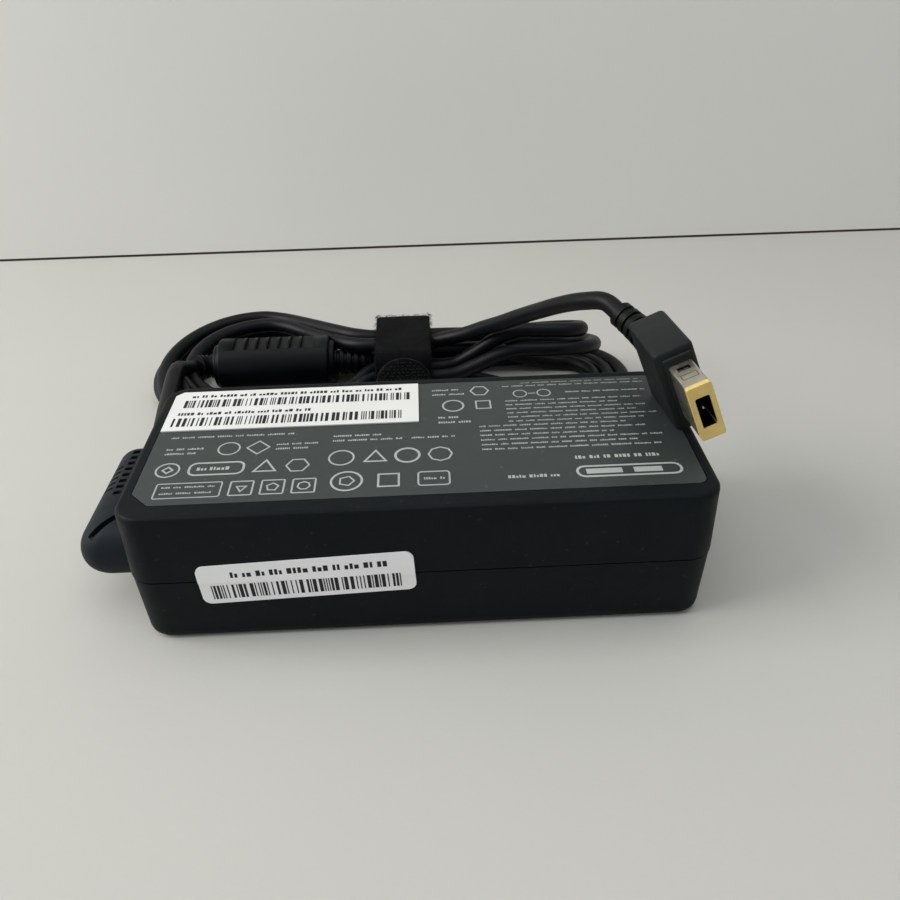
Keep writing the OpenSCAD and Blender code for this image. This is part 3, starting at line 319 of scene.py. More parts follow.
class Builder:
    """Collects the vertices and faces of one piece, in millimetres; move is a matrix or None."""

    def __init__(self):
        self.v, self.f = [], []

    def add(self, verts, faces, move=None):
        n = len(self.v)
        self.v += [tuple(move @ Vector(p)) if move else tuple(p) for p in verts]
        self.f += [tuple(i + n for i in f) for f in faces]

    def rings(self, rings, move=None, wrap=False):
        """Bands between rings of equal count; the ends are closed, or joined to each other by wrap."""
        n = len(rings[0])
        verts = [p for r in rings for p in r]
        faces = []
        m = len(rings)
        for i in range(m if wrap else m - 1):
            a, b = i * n, ((i + 1) % m) * n
            for k in range(n):
                j = (k + 1) % n
                faces.append((a + k, b + k, b + j, a + j))
        if not wrap:
            faces.append(tuple(range(n)))
            faces.append(tuple((m - 1) * n + k for k in reversed(range(n))))
        self.add(verts, faces, move)

    def lathe(self, profile, n, move):
        """Profile of (distance along, radius), turned about +X in n steps."""
        self.rings([[(x, r * math.cos(2 * math.pi * k / n), r * math.sin(2 * math.pi * k / n))
                     for k in range(n)] for x, r in profile], move)

    def block(self, lo, hi, r=0.0, seg=3, move=None):
        """Box with every edge rounded by r."""
        bm = bmesh.new()
        bmesh.ops.create_cube(bm, size=1)
        for v in bm.verts:
            v.co = Vector([lo[i] + (v.co[i] + 0.5) * (hi[i] - lo[i]) for i in range(3)])
        if r:
            bmesh.ops.bevel(bm, geom=list(bm.edges), offset=r, segments=seg, profile=0.5, affect="EDGES")
        bm.verts.ensure_lookup_table()
        self.add([v.co.copy() for v in bm.verts], [[v.index for v in f.verts] for f in bm.faces], move)
        bm.free()

    def done(self, name, material, slot=None, body="adapter", smooth=None):
        return piece(name, self.v, self.f, material, body, smooth)


def fillet(points, r, n=5):
    """Polyline (x, radius) with each corner between its ends rounded by r in n steps."""
    out = [points[0]]
    for i in range(1, len(points) - 1):
        p, a, b = (Vector(q) for q in (points[i], points[i - 1], points[i + 1]))
        da, db = a - p, b - p
        t = min(r, da.length * 0.49, db.length * 0.49)
        p0, p1 = p + da.normalized() * t, p + db.normalized() * t
        for k in range(n + 1):
            s = k / n
            out.append(tuple((1 - s) ** 2 * p0 + 2 * s * (1 - s) * p + s * s * p1))
    out.append(points[-1])
    return out


# ---------- cord ----------

# The strands pass the strap in a grid of cells (column, row), and leave it at CELL_OUT on each side.
CELL_Y, CELL_Z, CELL_Z0, CELL_OUT = 5.1, 4.9, 3.2, 8
BACK = [(3, 1), (3, 0), (4, 0), (4, 1), (3, 2), (2, 2)]
FRONT = [(2, 0), (1, 0), (0, 0), (0, 1), (1, 1)]

# A lobe of the hank: how far it reaches in X, and the Y and height of its near and far run. The rest
# are shares of a run's length: where the far run has settled in Y, and where both settle in height.
Lobe = namedtuple("Lobe", (
    "reach", "near_y", "near_z", "far_y", "far_z",
    "far_y_to", "far_z_from", "far_z_to", "near_z_from", "near_z_to"))
LEFT = [
    Lobe(-65.8, 62, 0, 84.5, 0, 0.75, 0.4, 1, 0, 0.45),
    Lobe(-69.9, 57.9, 0, 89.6, 1.5, 0.75, 0.4, 1, 0, 0.45),
    Lobe(-73.4, 53.8, 0, 95.6, 3.9, 0.9, 0.3, 1, 0, 0.45),
    Lobe(-72, 49.7, 0, 98.9, 7.5, 1, 0.135, 0.885, 0.1, 0.4),
    Lobe(-63.8, 54.5, 4.3, 92.6, 8, 1, 0, 0.75, 0.05, 0.3),
]
RIGHT = [
    Lobe(*row, 1, 0.35, 1, 0.05, 0.7) for row in (
        (49.3, 60, 0, 77, 0), (53.4, 55.9, 0, 81.1, 0), (57.4, 51.8, 0, 85.2, 0),
        (49, 60.3, 13.4, 82.2, 5), (44.5, 62.7, 17.6, 74, 12.8))
]
LEFT_NEAR_Y_TO, RIGHT_NEAR_Y_TO = 0.3, 1
FLOOR = 2.1
RUN, TURN = 6, 8


def cell(c, side=0):
    """A strand's place in the strap, or where it leaves it: side is -1 for the left and 1 for the right."""
    return Vector((STRAP_X + side * CELL_OUT, STRAP_Y + CELL_Y * (c[0] - 2), CELL_Z0 + CELL_Z * c[1]))


def smooth_step(t):
    return t * t * (3 - 2 * t)


def share(t, a, b):
    """How far t has come from a to b, with soft ends."""
    return smooth_step(max(0, min(1, (t - a) / (b - a))))


def run(p, q, y_from, y_to, z_from, z_to, back=False):
    """RUN points from the strap at p towards the lobe at q, without q, or back from q without p."""
    out = []
    for k in range(RUN):
        t = (RUN - k if back else k) / RUN
        out.append(Vector((p.x + (q.x - p.x) * t, p.y + (q.y - p.y) * share(t, y_from, y_to),
                           p.z + (q.z - p.z) * share(t, z_from, z_to))))
    return out


def turn(reach, a, b):
    """TURN points of the half turn from a to b, without b."""
    h = (b.y - a.y) / 2
    out = []
    for k in range(TURN):
        f = math.pi * k / TURN
        out.append(Vector((a.x + (reach - a.x) * math.sin(f), (a.y + b.y) / 2 - h * math.cos(f),
                           a.z + (b.z - a.z) * smooth_step(k / TURN))))
    return out


def lobe_x(lobe, side):
    return lobe.reach - side * abs(lobe.far_y - lobe.near_y) / 2


def near_end(lobe, side):
    return Vector((lobe_x(lobe, side), lobe.near_y, FLOOR + lobe.near_z))


def far_end(lobe, side):
    return Vector((lobe_x(lobe, side), lobe.far_y, FLOOR + lobe.far_z))


def hank_points():
    """Each turn goes out to the right, back through the strap and round the left."""
    out = []
    for r, l, b, f, n in zip(RIGHT, LEFT, BACK, FRONT, BACK[1:]):
        out += run(cell(b, 1), far_end(r, 1), 0, r.far_y_to, r.far_z_from, r.far_z_to)
        out += turn(r.reach, far_end(r, 1), near_end(r, 1))
        out += run(cell(f, 1), near_end(r, 1), 0, RIGHT_NEAR_Y_TO, r.near_z_from, r.near_z_to, True)
        out += [cell(f, 1)]
        out += run(cell(f, -1), near_end(l, -1), 0, LEFT_NEAR_Y_TO, l.near_z_from, l.near_z_to)
        out += turn(l.reach, near_end(l, -1), far_end(l, -1))
        out += run(cell(n, -1), far_end(l, -1), 0, l.far_y_to, l.far_z_from, l.far_z_to, True)
        out += [cell(n, -1)]
    return out


# The plug's own frame: its tip's end in the origin, and its cord leaving along +Y.
PLUG = (Matrix.Translation((50.4, -14.1, 41.35)) @ Matrix.Rotation(math.radians(4.4), 4, "Z")
        @ Matrix.Rotation(math.radians(-22.2), 4, "Y") @ Matrix.Rotation(math.radians(-5.7), 4, "X"))
# The plug's boot is straight for BOOT_STRAIGHT, then bends by BOOT_ANGLE with the radius BOOT_BEND.
LEAN = Matrix.Rotation(math.radians(55), 4, "Y")
BOOT_STRAIGHT = 3
BOOT_BEND = 2.5 / math.radians(6.5)
BOOT_ANGLE = math.radians(39)
BOOT_END = PLUG @ (Vector((0, TIP_L + PLUG_L + BOOT_STRAIGHT, 0)) + LEAN @ Vector(
    (-BOOT_BEND * (1 - math.cos(BOOT_ANGLE)), BOOT_BEND * math.sin(BOOT_ANGLE), 0)))
BOOT_DIR = PLUG.to_3x3() @ (LEAN @ Vector((-math.sin(BOOT_ANGLE), math.cos(BOOT_ANGLE), 0)))

# The elbow boot bends up and towards the brick, from the ferrite's left end.
ELBOW_START = Vector((-57, FERRITE_Y, FERRITE_Z))
ELBOW_UP = Vector((0, -math.cos(math.radians(25)), math.sin(math.radians(25))))
ELBOW_R = 5.5
ELBOW_ANGLES = (65, 49, 33, 16, 0)


def elbow(a):
    """Point of the elbow's middle line at a degrees."""
    a = math.radians(a)
    return ELBOW_START + ELBOW_R * (1 - math.cos(a)) * ELBOW_UP - Vector((ELBOW_R * math.sin(a), 0, 0))


def elbow_dir(a):
    a = math.radians(a)
    return math.sin(a) * ELBOW_UP - Vector((math.cos(a), 0, 0))


def cord_points():
    lead = [Vector(p) for p in (
        (-60.3, 16.8, 12.8), (-60.3, 20.9, 12.8), (-60.8, 28, 12.6), (-61.8, 35, 12.4), (-62.8, 42, 12.3),
        (-63.6, 49, 12.3), (-64.3, 55, 12.4), (-64.7, 60, 12.5), (-64.8, 64, 11.9))]
    lead.append(elbow(ELBOW_ANGLES[0]) + CORD_D * elbow_dir(ELBOW_ANGLES[0]))
    lead += [elbow(a) for a in ELBOW_ANGLES]
    through = [Vector(p) for p in (
        (-48, 72.8, 7.5), (-38, 72.8, 7.5), (-28, 72.8, 7.5), (-20.5, 72.8, 7.5), (-15.5, 73.2, 7.6),
        (-11.5, 74.4, 7.9), (-8, 75.6, 8.1))]
    tail = [Vector(p) for p in (
        (-4.1, 71, 13), (1, 71, 13), (7.5, 69.5, 15), (13, 67.2, 17.4), (17.6, 63.9, 20.6),
        (21.8, 59.4, 24.1), (26, 54.2, 28.2), (30, 48.5, 32.3), (34.2, 42.8, 36.3), (38.4, 37.5, 39.4))]
    tail += [BOOT_END + CORD_D * BOOT_DIR, BOOT_END]
    return lead + through + [cell(BACK[0])] + hank_points() + tail


def bezier(name, points, radius, material):
    """One open spline with centripetal Catmull-Rom tangents, and the summed distance of its points."""
    data = bpy.data.curves.new(name, "CURVE")
    data.dimensions = "3D"
    data.bevel_depth = radius * MM
    data.bevel_resolution = 5
    data.resolution_u = 6
    data.use_fill_caps = True
    sp = data.splines.new("BEZIER")
    sp.bezier_points.add(len(points) - 1)
    total = 0.0
    n = len(points)
    for i, p in enumerate(points):
        if 0 < i < n - 1:
            a, b = points[i - 1], points[i + 1]
            da, db = math.sqrt((p - a).length), math.sqrt((b - p).length)
            t = ((p - a) / da - (b - a) / (da + db) + (b - p) / db).normalized()
        else:
            t = (points[1] - p if i == 0 else p - points[i - 1]).normalized()
        la = (p - points[i - 1]).length / 3 if i else 0.5
        lb = (points[i + 1] - p).length / 3 if i < n - 1 else 0.5
        q = sp.bezier_points[i]
        q.handle_left_type = q.handle_right_type = "FREE"
        q.co = p * MM
        q.handle_left = (p - t * la) * MM
        q.handle_right = (p + t * lb) * MM
        total += (points[i + 1] - p).length if i < n - 1 else 0
    data.materials.append(material)
    obj = bpy.data.objects.new(name, data)
    scene.collection.objects.link(obj)
    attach(obj, "adapter")
    return obj, total


cord, cord_length = bezier("cord", cord_points(), CORD_D / 2, JACKET)
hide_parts("cord_lead", "cord_through_ferrite", "cord_hank", "cord_tail")


# ---------- ferrite ----------

def carved(obj, cuts):
    """Cut boxes (lo, hi, matrix), in millimetres, out of a closed piece."""
    b = Builder()
    for lo, hi, move in cuts:
        b.block(lo, hi, 0, move=move)
    tool = piece(obj.name + "_cut", b.v, b.f, obj.data.materials[0])
    mod = obj.modifiers.new("cut", "BOOLEAN")
    mod.operation, mod.object, mod.solver = "DIFFERENCE", tool, "EXACT"
    mesh = bpy.data.meshes.new_from_object(obj.evaluated_get(bpy.context.evaluated_depsgraph_get()))
    obj.modifiers.clear()
    obj.data = mesh
    bpy.data.objects.remove(tool)


# Ends and radii of the moulding, and the teeth of its comb.
FERRITE_X0, FERRITE_X1 = -55.4, -24.9
FERRITE_R, COLLAR_R, BORE_R = 7.5, 6.0, 2.2
TOOTH, TOOTH_PITCH, TEETH = 0.9, 3.05, 6


def ferrite_case():
    """Moulding over the ferrite, with a comb of teeth in a shallow recess on its top."""
    b = Builder()
    x0, x1, r, c = FERRITE_X0, FERRITE_X1, FERRITE_R, COLLAR_R
    profile = fillet([
        (x0 - 1.5, BORE_R), (x0 - 1.5, c), (x0 + 0.05, c), (x0 + 0.05, r), (x1 - 0.05, r),
        (x1 - 0.05, c), (x1 + 1.4, c), (x1 + 1.4, BORE_R)], 0.75, 5)
    b.lathe(profile, 72, Matrix.Translation((0, FERRITE_Y, FERRITE_Z)))
    obj = b.done("ferrite_case", MOULDING, "cord_moulding", smooth=35)
    lo, hi = x0 + 4.4, x1 - 4.2
    first = lo + 2.5
    teeth = [x for x in (first + TOOTH_PITCH * i for i in range(TEETH)) if x + 1.1 < hi]
    edges = [lo] + [e for t in teeth for e in (t, t + TOOTH)] + [hi]
    y0, y1, z0, z1 = FERRITE_Y - 3.6, FERRITE_Y + 6.7, FERRITE_Z + 6.4, FERRITE_Z + 8.5
    carved(obj, [((a, y0, z0), (e, y1, z1), None) for a, e in zip(edges[::2], edges[1::2])])
    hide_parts("ferrite_housing")


# Pitch of the ribs, their radius at the ferrite, its loss per millimetre, and the X past which none starts.
BOOT_PITCH, BOOT_R, BOOT_TAPER, BOOT_X1 = 2.05, 3.75, 0.05, -14.5


def straight_boot():
    """Ribbed boot between the ferrite and the strap."""
    b = Builder()
    x, profile = FERRITE_X1 + 0.6, [(FERRITE_X1 + 0.5, 2.1), (FERRITE_X1 + 0.5, 3.7)]
    while x < BOOT_X1:
        r = BOOT_R - BOOT_TAPER * (x - FERRITE_X1)
        profile += [(x + 0.1, r), (x + 1.25, r), (x + 1.3, r - 0.75), (x + 1.95, r - 0.78)]
        x += BOOT_PITCH
    profile += [(x + 0.1, 3.1), (x + 0.8, 2.9), (x + 0.9, 2.06)]
    b.lathe(fillet(profile, 0.12, 2), 48, Matrix.Translation((0, FERRITE_Y, FERRITE_Z)))
    obj = b.done("ferrite_straight_boot", MOULDING, "cord_moulding", smooth=40)
    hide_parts("ferrite_boot_straight")


ferrite_case()
straight_boot()


# ---------- strain relief ----------

# Middle lines of the two arms and their radius, the outlet arm's end in the brick and the sleeve's tip.
RELIEF_X, RELIEF_Y, RELIEF_Z, RELIEF_R = -60.3, -8.0, 12.8, 6.0
RELIEF_ROOT, RELIEF_TIP = -53, 17.1
# The corner's radius at RELIEF_HALF inside the middle line and at RELIEF_HALF outside it.
RELIEF_HALF = 6.2
CORNER_INNER, CORNER_OUTER = 0.25, 4.65
CORNER_STEPS = 12


def relief_ring(place, shrink=1.0, n=64):
    """Slightly squared section; place gives x and y of the line that lies w outside the middle."""
    out = []
    for k in range(n):
        a = 2 * math.pi * k / n
        q = RELIEF_R * shrink * (1 + 0.03 * (1 - math.cos(4 * a)) / 2)
        out.append((*place(q * math.cos(a)), RELIEF_Z + q * math.sin(a)))
    return out


def corner_radius(w):
    """Radius of the corner for the line that lies w outside the middle."""
    return CORNER_INNER + (CORNER_OUTER - CORNER_INNER) * (w + RELIEF_HALF) / (2 * RELIEF_HALF)


def on_outlet(w, t):
    return RELIEF_ROOT * (1 - t) + (RELIEF_X - w + corner_radius(w)) * t, RELIEF_Y - w


def on_corner(w, t):
    r, a = corner_radius(w), math.pi / 2 * t
    return RELIEF_X - w + r * (1 - math.sin(a)), RELIEF_Y - w + r * (1 - math.cos(a))


def relief_cuts():
    """A slot over the corner, a row of holes along the sleeve and a row of notches beside it."""
    middle = Matrix.Translation((RELIEF_X + 0.55, RELIEF_Y - 0.55, RELIEF_Z))
    slot = middle @ Matrix.Rotation(math.radians(45), 4, "Z")
    cuts = [((-4.7, -0.7, RELIEF_R - 2), (6, 0.7, RELIEF_R + 2), slot)]
    rows = ((8, 0.2, 2.07, -8, (-0.75, -0.55, RELIEF_R - 1.2), (0.75, 0.55, RELIEF_R + 1)),
            (5, 2.2, 1.9, -44, (-2.2, -0.3, RELIEF_R - 0.65), (2.2, 0.3, RELIEF_R + 1)))
    for count, y, pitch, tilt, lo, hi in rows:
        for i in range(count):
            cuts.append((lo, hi, Matrix.Translation((RELIEF_X, y + pitch * i, RELIEF_Z))
                         @ Matrix.Rotation(math.radians(tilt), 4, "Y")))
    return cuts


def strain_relief():
    """Moulded elbow: a short run out of the housing, a mitre-like corner and a sleeve along the brick."""
    tip = RELIEF_TIP
    rings = [relief_ring(lambda w: on_outlet(w, t)) for t in (0, 0.5)]
    rings += [relief_ring(lambda w: on_corner(w, k / CORNER_STEPS)) for k in range(CORNER_STEPS + 1)]
    for y, shrink in ((0.5, 0.985), (5, 0.975), (10, 0.965), (tip - 1.6, 0.955), (tip - 0.9, 0.93),
                      (tip - 0.4, 0.87), (tip - 0.1, 0.77), (tip, 0.6)):
        rings.append(relief_ring(lambda w: (RELIEF_X - w, y), shrink))
    b = Builder()
    b.rings(rings)
    obj = b.done("strain_relief", RELIEF, "moulded_relief", smooth=50)
    carved(obj, relief_cuts())
    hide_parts("cord_strain_relief")


strain_relief()


# ---------- strap ----------

def strap_outline(inset, n_corner=6):
    """Rounded rectangle of the strap in y and z, with the outward normals, in steps under 2 mm."""
    hd, hh, r = STRAP_D / 2 - inset, STRAP_H / 2 - inset, STRAP_R - inset
    pts = []
    for sy, sz, a0 in ((1, 1, 0), (-1, 1, 90), (-1, -1, 180), (1, -1, 270)):
        cy, cz = sy * (hd - r), sz * (hh - r)
        for k in range(n_corner + 1):
            a = math.radians(a0 + 90 * k / n_corner)
            pts.append((cy + r * math.cos(a), cz + r * math.sin(a), math.cos(a), math.sin(a)))
    dense = []
    for i, p in enumerate(pts):
        q = pts[(i + 1) % len(pts)]
        m = max(1, int(math.hypot(q[0] - p[0], q[1] - p[1]) / 0.9))
        dense += [tuple(p[k] + (q[k] - p[k]) * j / m for k in range(4)) for j in range(m)]
    return dense


def strap_band():
    """Loop tape round the hank: a soft-edged section that sinks between the strands."""
    rng = random.Random(5)
    outline = strap_outline(0.55)
    waves = [(rng.uniform(0.4, 1.3), rng.uniform(0, 6.28), rng.uniform(0.05, 0.12)) for _ in range(6)]
    rings = []
    n = len(outline)
    # Distance across the strap and height of the tape's surface.
    section = [(-7.5, 0.0), (-7.42, 0.32), (-7.1, 0.45), (-5, 0.5), (-2.5, 0.52), (0, 0.54), (2.5, 0.52),
               (5, 0.5), (7.1, 0.45), (7.42, 0.32), (7.5, 0.0), (7.42, -0.3), (7.1, -0.42), (3.5, -0.45),
               (0, -0.45), (-3.5, -0.45), (-7.1, -0.42), (-7.42, -0.3)]
    for i, (y, z, ny, nz) in enumerate(outline):
        s = i / n * 2 * math.pi
        ring = []
        for x, h in section:
            wave = sum(a * math.sin(round(f * 5) * s + ph + x * 0.35 * f) for f, ph, a in waves) * 0.5
            edge = 0.12 * math.sin(9 * s + x) if 7 < abs(x) < 7.45 else 0.0
            sink = min(0.0, wave) if h > 0 else 0.0
            ring.append((STRAP_X + x + edge, STRAP_Y + y + ny * (h + sink),
                         STRAP_H / 2 + z + nz * (h + sink)))
        rings.append(ring)
    b = Builder()
    b.rings(rings, wrap=True)
    obj = b.done("strap_loop_band", LOOP, "strap_loop", smooth=60)
    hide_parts("strap_band")


def fibres(name, spots, length, width, seed, material, slot, body):
    """Short curled fibres standing on the given (point, normal) spots, each a bent three-sided thread."""
    rng = random.Random(seed)
    b = Builder()
    for p, nrm in spots:
        side = nrm.cross(Vector((rng.uniform(-1, 1), rng.uniform(-1, 1), rng.uniform(-1, 1)))).normalized()
        size = length * rng.uniform(0.4, 1.0)
        rings = []
        for k in range(4):
            t = k / 3
            c = p + nrm * size * 0.62 * math.sin(t * 2.2) + side * size * (t - 0.1 + 0.4 * t * t)
            w = width * (1 - 0.5 * t)
            u = nrm.cross(side)
            rings.append([tuple(c + w * (math.cos(q) * u + math.sin(q) * nrm)) for q in (0.5, 2.6, 4.7)])
        b.rings(rings)
    b.done(name, material, slot, body)


def strap_spots(count, seed):
    """Random points on the strap with their normals, a third of them at its edges, none below it."""
    rng = random.Random(seed)
    outline = strap_outline(0.05)
    out = []
    while len(out) < count:
        y, z, ny, nz = outline[rng.randrange(len(outline))]
        x = rng.uniform(-7.4, 7.4)
        if rng.random() < 0.35:
            x = math.copysign(7.35, x)
        if z < -STRAP_H / 2 + 1.2:
            continue
        out.append((Vector((STRAP_X + x, STRAP_Y + y, STRAP_H / 2 + z)),
                    Vector((0.5 * (x > 7) - 0.5 * (x < -7), ny, nz)).normalized()))
    return out


def tab_height(x):
    """Height of the tab at x from its middle: a straight flap with a round end."""
    r = STRAP_W / 2
    return TAB_L - r + math.sqrt(max(0.0, r * r - x * x))


def strap_tab():
    """Hook end of the strap: a flat flap, slightly cupped, on the front of the band."""
    nx, nz = 24, 16
    front, back = [], []
    for i in range(nx + 1):
        x = 0.9995 * STRAP_W * (i / nx - 0.5)
        top = tab_height(x)
        for j in range(nz + 1):
            z = top * j / nz
            edge = min(1.0, (top - z) / 0.7 + 0.25, (STRAP_W / 2 - abs(x)) / 0.7 + 0.25)
            y = TAB_BACK - (TAB_BACK - TAB_FRONT) * (0.25 + 0.6 * edge)
            front.append((STRAP_X + x, y, TAB_Z + z))
            back.append((STRAP_X + x, TAB_BACK - 0.05, TAB_Z + z))
    m = nz + 1
    faces = []
    for i in range(nx):
        for j in range(nz):
            a = i * m + j
            faces.append((a, a + m, a + m + 1, a + 1))
    k = len(front)
    faces += [tuple(q + k for q in reversed(f)) for f in faces]
    rim = [i * m for i in range(nx + 1)] + [nx * m + j for j in range(1, m)]
    rim += [i * m + nz for i in range(nx - 1, -1, -1)] + [j for j in range(nz - 1, 0, -1)]
    for i, a in enumerate(rim):
        c = rim[(i + 1) % len(rim)]
        faces.append((a, c, c + k, a + k))
    b = Builder()
    b.add(front + back, faces)
    obj = b.done("strap_hook_tab", HOOK, "strap_hook", "hook_tab", smooth=50)
    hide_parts("strap_tab")


def tab_hooks():
    """Rows of small bent hooks on the tab's outer face."""
    rng = random.Random(11)
    b = Builder()
    pitch, row_pitch, thick = 1.05, 0.98, 0.075
    for row in range(14):
        z = 1.0 + row * row_pitch
        for col in range(-7, 8):
            x = (col + (0.5 if row % 2 else 0)) * pitch + rng.uniform(-0.12, 0.12)
            if abs(x) > STRAP_W / 2 - 0.4 or z > tab_height(x) - 0.6:
                continue
            lean = rng.choice((-1, 1))
            rings = []
            for k in range(6):
                a = math.pi * 1.15 * k / 5
                c = Vector((STRAP_X + x + lean * 0.2 * (1 - math.cos(a)),
                            TAB_FRONT + 0.22 - 0.34 * math.sin(a), TAB_Z + z + rng.uniform(-0.03, 0.03)))
                rings.append([tuple(c + thick * Vector((0.8 * math.cos(q), -0.6 * math.cos(q), math.sin(q))))
                              for q in (0, 1.57, 3.14, 4.71)])
            b.rings(rings)
    b.done("strap_hooks", HOOKS, "strap_hook", "hook_tab", smooth=80)


strap_band()
fibres("strap_lint", strap_spots(2600, 3), 0.9, 0.035, 4, LINT, "strap_loop", "adapter")
strap_tab()
tab_hooks()


# ---------- prints ----------

class Print(Builder):
    """Flat printed marks without any meaning; place maps (u, v) to a point of the surface."""

    def __init__(self, place, rng):
        super().__init__()
        self.place, self.rng = place, rng

    def poly(self, outer, inner=None):
        n = len(outer)
        if inner is None:
            self.add([self.place(*p) for p in outer], [tuple(range(n))])
        else:
            self.add([self.place(*p) for p in outer + inner],
                     [(i, (i + 1) % n, n + (i + 1) % n, n + i) for i in range(n)])

    def bar(self, u, v, w, h):
        self.poly([(u + a * w / 2, v + b * h / 2) for a, b in ((-1, -1), (1, -1), (1, 1), (-1, 1))])

    def shape(self, u, v, r, sides, t, turn=0.0):
        """Outline of a regular polygon; 40 sides for a ring."""
        def ring(q):
            return [(u + q * math.cos(turn + 2 * math.pi * k / sides),
                     v + q * math.sin(turn + 2 * math.pi * k / sides)) for k in range(sides)]
        self.poly(ring(r), ring(r - t / math.cos(math.pi / sides)))

    def box(self, u, v, w, h, t=0.28, r=0.5):
        """Outline of a rectangle with round corners."""
        def ring(grow):
            out = []
            for sx, sy, a0 in ((1, 1, 0), (-1, 1, 90), (-1, -1, 180), (1, -1, 270)):
                for k in range(5):
                    a = math.radians(a0 + 22.5 * k)
                    q = max(0.02, r + grow)
                    out.append((u + sx * (w / 2 - r) + q * math.cos(a),
                                v + sy * (h / 2 - r) + q * math.sin(a)))
            return out
        self.poly(ring(0), ring(-t))

    def words(self, u0, u1, v, h, gap=0.55):
        """A line of plain ticks, as small as lettering, in groups of uneven length."""
        u = u0
        while u < u1 - 0.6:
            end = min(u + self.rng.uniform(0.9, 3.6), u1)
            while u < end:
                w = h * self.rng.uniform(0.34, 0.7)
                tall = h * self.rng.choice((0.72, 1, 1))
                self.bar(u + w / 2, v - (h - tall) / 2, w, tall)
                u += w + h * 0.22
            u += gap

    def stripes(self, u0, u1, v, h, unit=0.2):
        """Upright stripes of uneven width."""
        u = u0
        while u < u1:
            w = unit * self.rng.choice((1, 1, 2, 3))
            self.bar(u + w / 2, v, w, h)
            u += w + unit * self.rng.choice((1, 1, 2, 3))


def label_print():
    p = Print(lambda u, v: (u, v, LABEL_TOP + INK_GAP), random.Random(21))
    # Left block, in front of the sticker: frames, rings and other empty shapes.
    p.box(-41.5, -14.6, 12, 4.6)
    p.words(-46.4, -37, -13.6, 0.5)
    p.words(-46.4, -37, -15.4, 0.5)
    for i, u in enumerate((-32, -26.4, -20.8)):
        p.box(u, -14.6, 4.4, 4.4, 0.32, 0.4)
        p.shape(u, -14.6, 1.3, 3 + i * 2, 0.3, 0.5 + i)
    p.shape(-46.6, -8.2, 2.3, 40, 0.35)
    p.shape(-46.6, -8.2, 1.2, 4, 0.35)
    p.box(-37.6, -8.2, 10.5, 4.2, 0.45, 1.6)
    p.words(-41.2, -34.4, -8.2, 1.0, 0.4)
    p.shape(-28.6, -8.5, 2.7, 3, 0.38, math.pi / 2)
    p.shape(-22.6, -8.2, 2.3, 6, 0.32)
    p.words(-48.4, -40.6, -1.4, 0.6)
    p.words(-48.4, -42.6, -2.9, 0.6)
    p.shape(-36.4, -1.8, 2.2, 40, 0.32)
    p.shape(-30.8, -1.8, 2.4, 4, 0.32)
    p.words(-27.4, -19, -1.0, 0.55)
    p.words(-27.4, -20.6, -2.5, 0.55)
    p.words(-48.4, -24, 2.6, 0.55)
    # Middle block.
    p.shape(-13.2, -13.8, 3.0, 40, 0.42)
    p.shape(-13.2, -13.8, 1.6, 5, 0.3)
    p.shape(-5.6, -14.0, 2.9, 4, 0.4, math.pi / 4)
    p.box(2.6, -14.0, 6.0, 4.4, 0.34, 0.8)
    p.words(0.8, 4.6, -14.0, 0.7)
    p.shape(-14.6, -6.4, 2.5, 40, 0.36)
    p.shape(-8.2, -6.8, 2.7, 3, 0.38, math.pi / 2)
    p.shape(-2.2, -6.4, 2.5, 40, 0.5)
    p.shape(4.0, -6.4, 2.4, 8, 0.34)
    p.words(-16.6, -3.2, -0.6, 0.55)
    p.words(-16.6, -6.2, 1.0, 0.55)
    p.words(-1.4, 7, -0.6, 0.55)
    p.words(4, 10.5, 4.4, 0.7)
    p.words(4, 9, 6.2, 0.7)
    p.shape(7.2, 10.6, 2.3, 40, 0.4)
    p.shape(13.4, 10.6, 2.3, 4, 0.34, math.pi / 4)
    p.shape(13.0, 16.2, 2.1, 6, 0.32)
    p.words(3, 9.6, 15.2, 0.6)
    p.words(3, 8.4, 17.0, 0.6)
    # Right block: plain bars, then small lines at the back.
    p.box(38.2, -13.9, 19.5, 3.6, 0.5, 1.7)
    p.bar(33.6, -13.9, 6.6, 1.5)
    p.bar(41.6, -13.9, 5.2, 1.5)
    p.words(16, 25.4, -14.6, 0.9, 0.5)
    p.words(29, 44.5, -9.4, 1.0, 0.6)
    for i, end in enumerate((46, 43, 47, 38, 45, 41)):
        p.words(12, end, -5.6 + 1.6 * i, 0.5)
    for i, end in enumerate((46, 48, 44, 47.5, 41, 46)):
        p.words(18, end, 3.9 + 1.55 * i, 0.45)
    p.shape(21.4, 14.4, 1.5, 40, 0.26)
    p.shape(26.4, 14.4, 1.5, 40, 0.26)
    p.bar(23.9, 14.4, 1.6, 0.26)
    p.words(31, 47.6, 14.4, 0.5)
    p.words(18, 48, 17.6, 0.4)
    p.words(22, 48, 18.8, 0.3)
    p.done("label_print", INK_PALE, "sticker")


def sticker_print():
    p = Print(lambda u, v: (u, v, STICKER_TOP + INK_GAP), random.Random(8))
    p.words(-47.5, -4.0, 17.9, 1.0, 0.5)
    p.stripes(-48.6, -2.0, 14.9, 2.9, 0.22)
    p.words(-49, -22, 11.0, 1.0, 0.5)
    p.stripes(-49.6, -3.4, 7.9, 3.1, 0.22)
    p.done("sticker_print", INK_BLACK, "sticker")


# The front sticker: where it lies, its tilt and thickness, and the walls that slope back from the seam.
SIDE_X, SIDE_TILT, SIDE_T = -21.1, math.radians(2.3), 0.25
UPPER_WALL_Y, LOWER_WALL_Y = -23, -22.85
DRAFT = math.tan(math.radians(1.7))
FOLD_GAP = 0.002


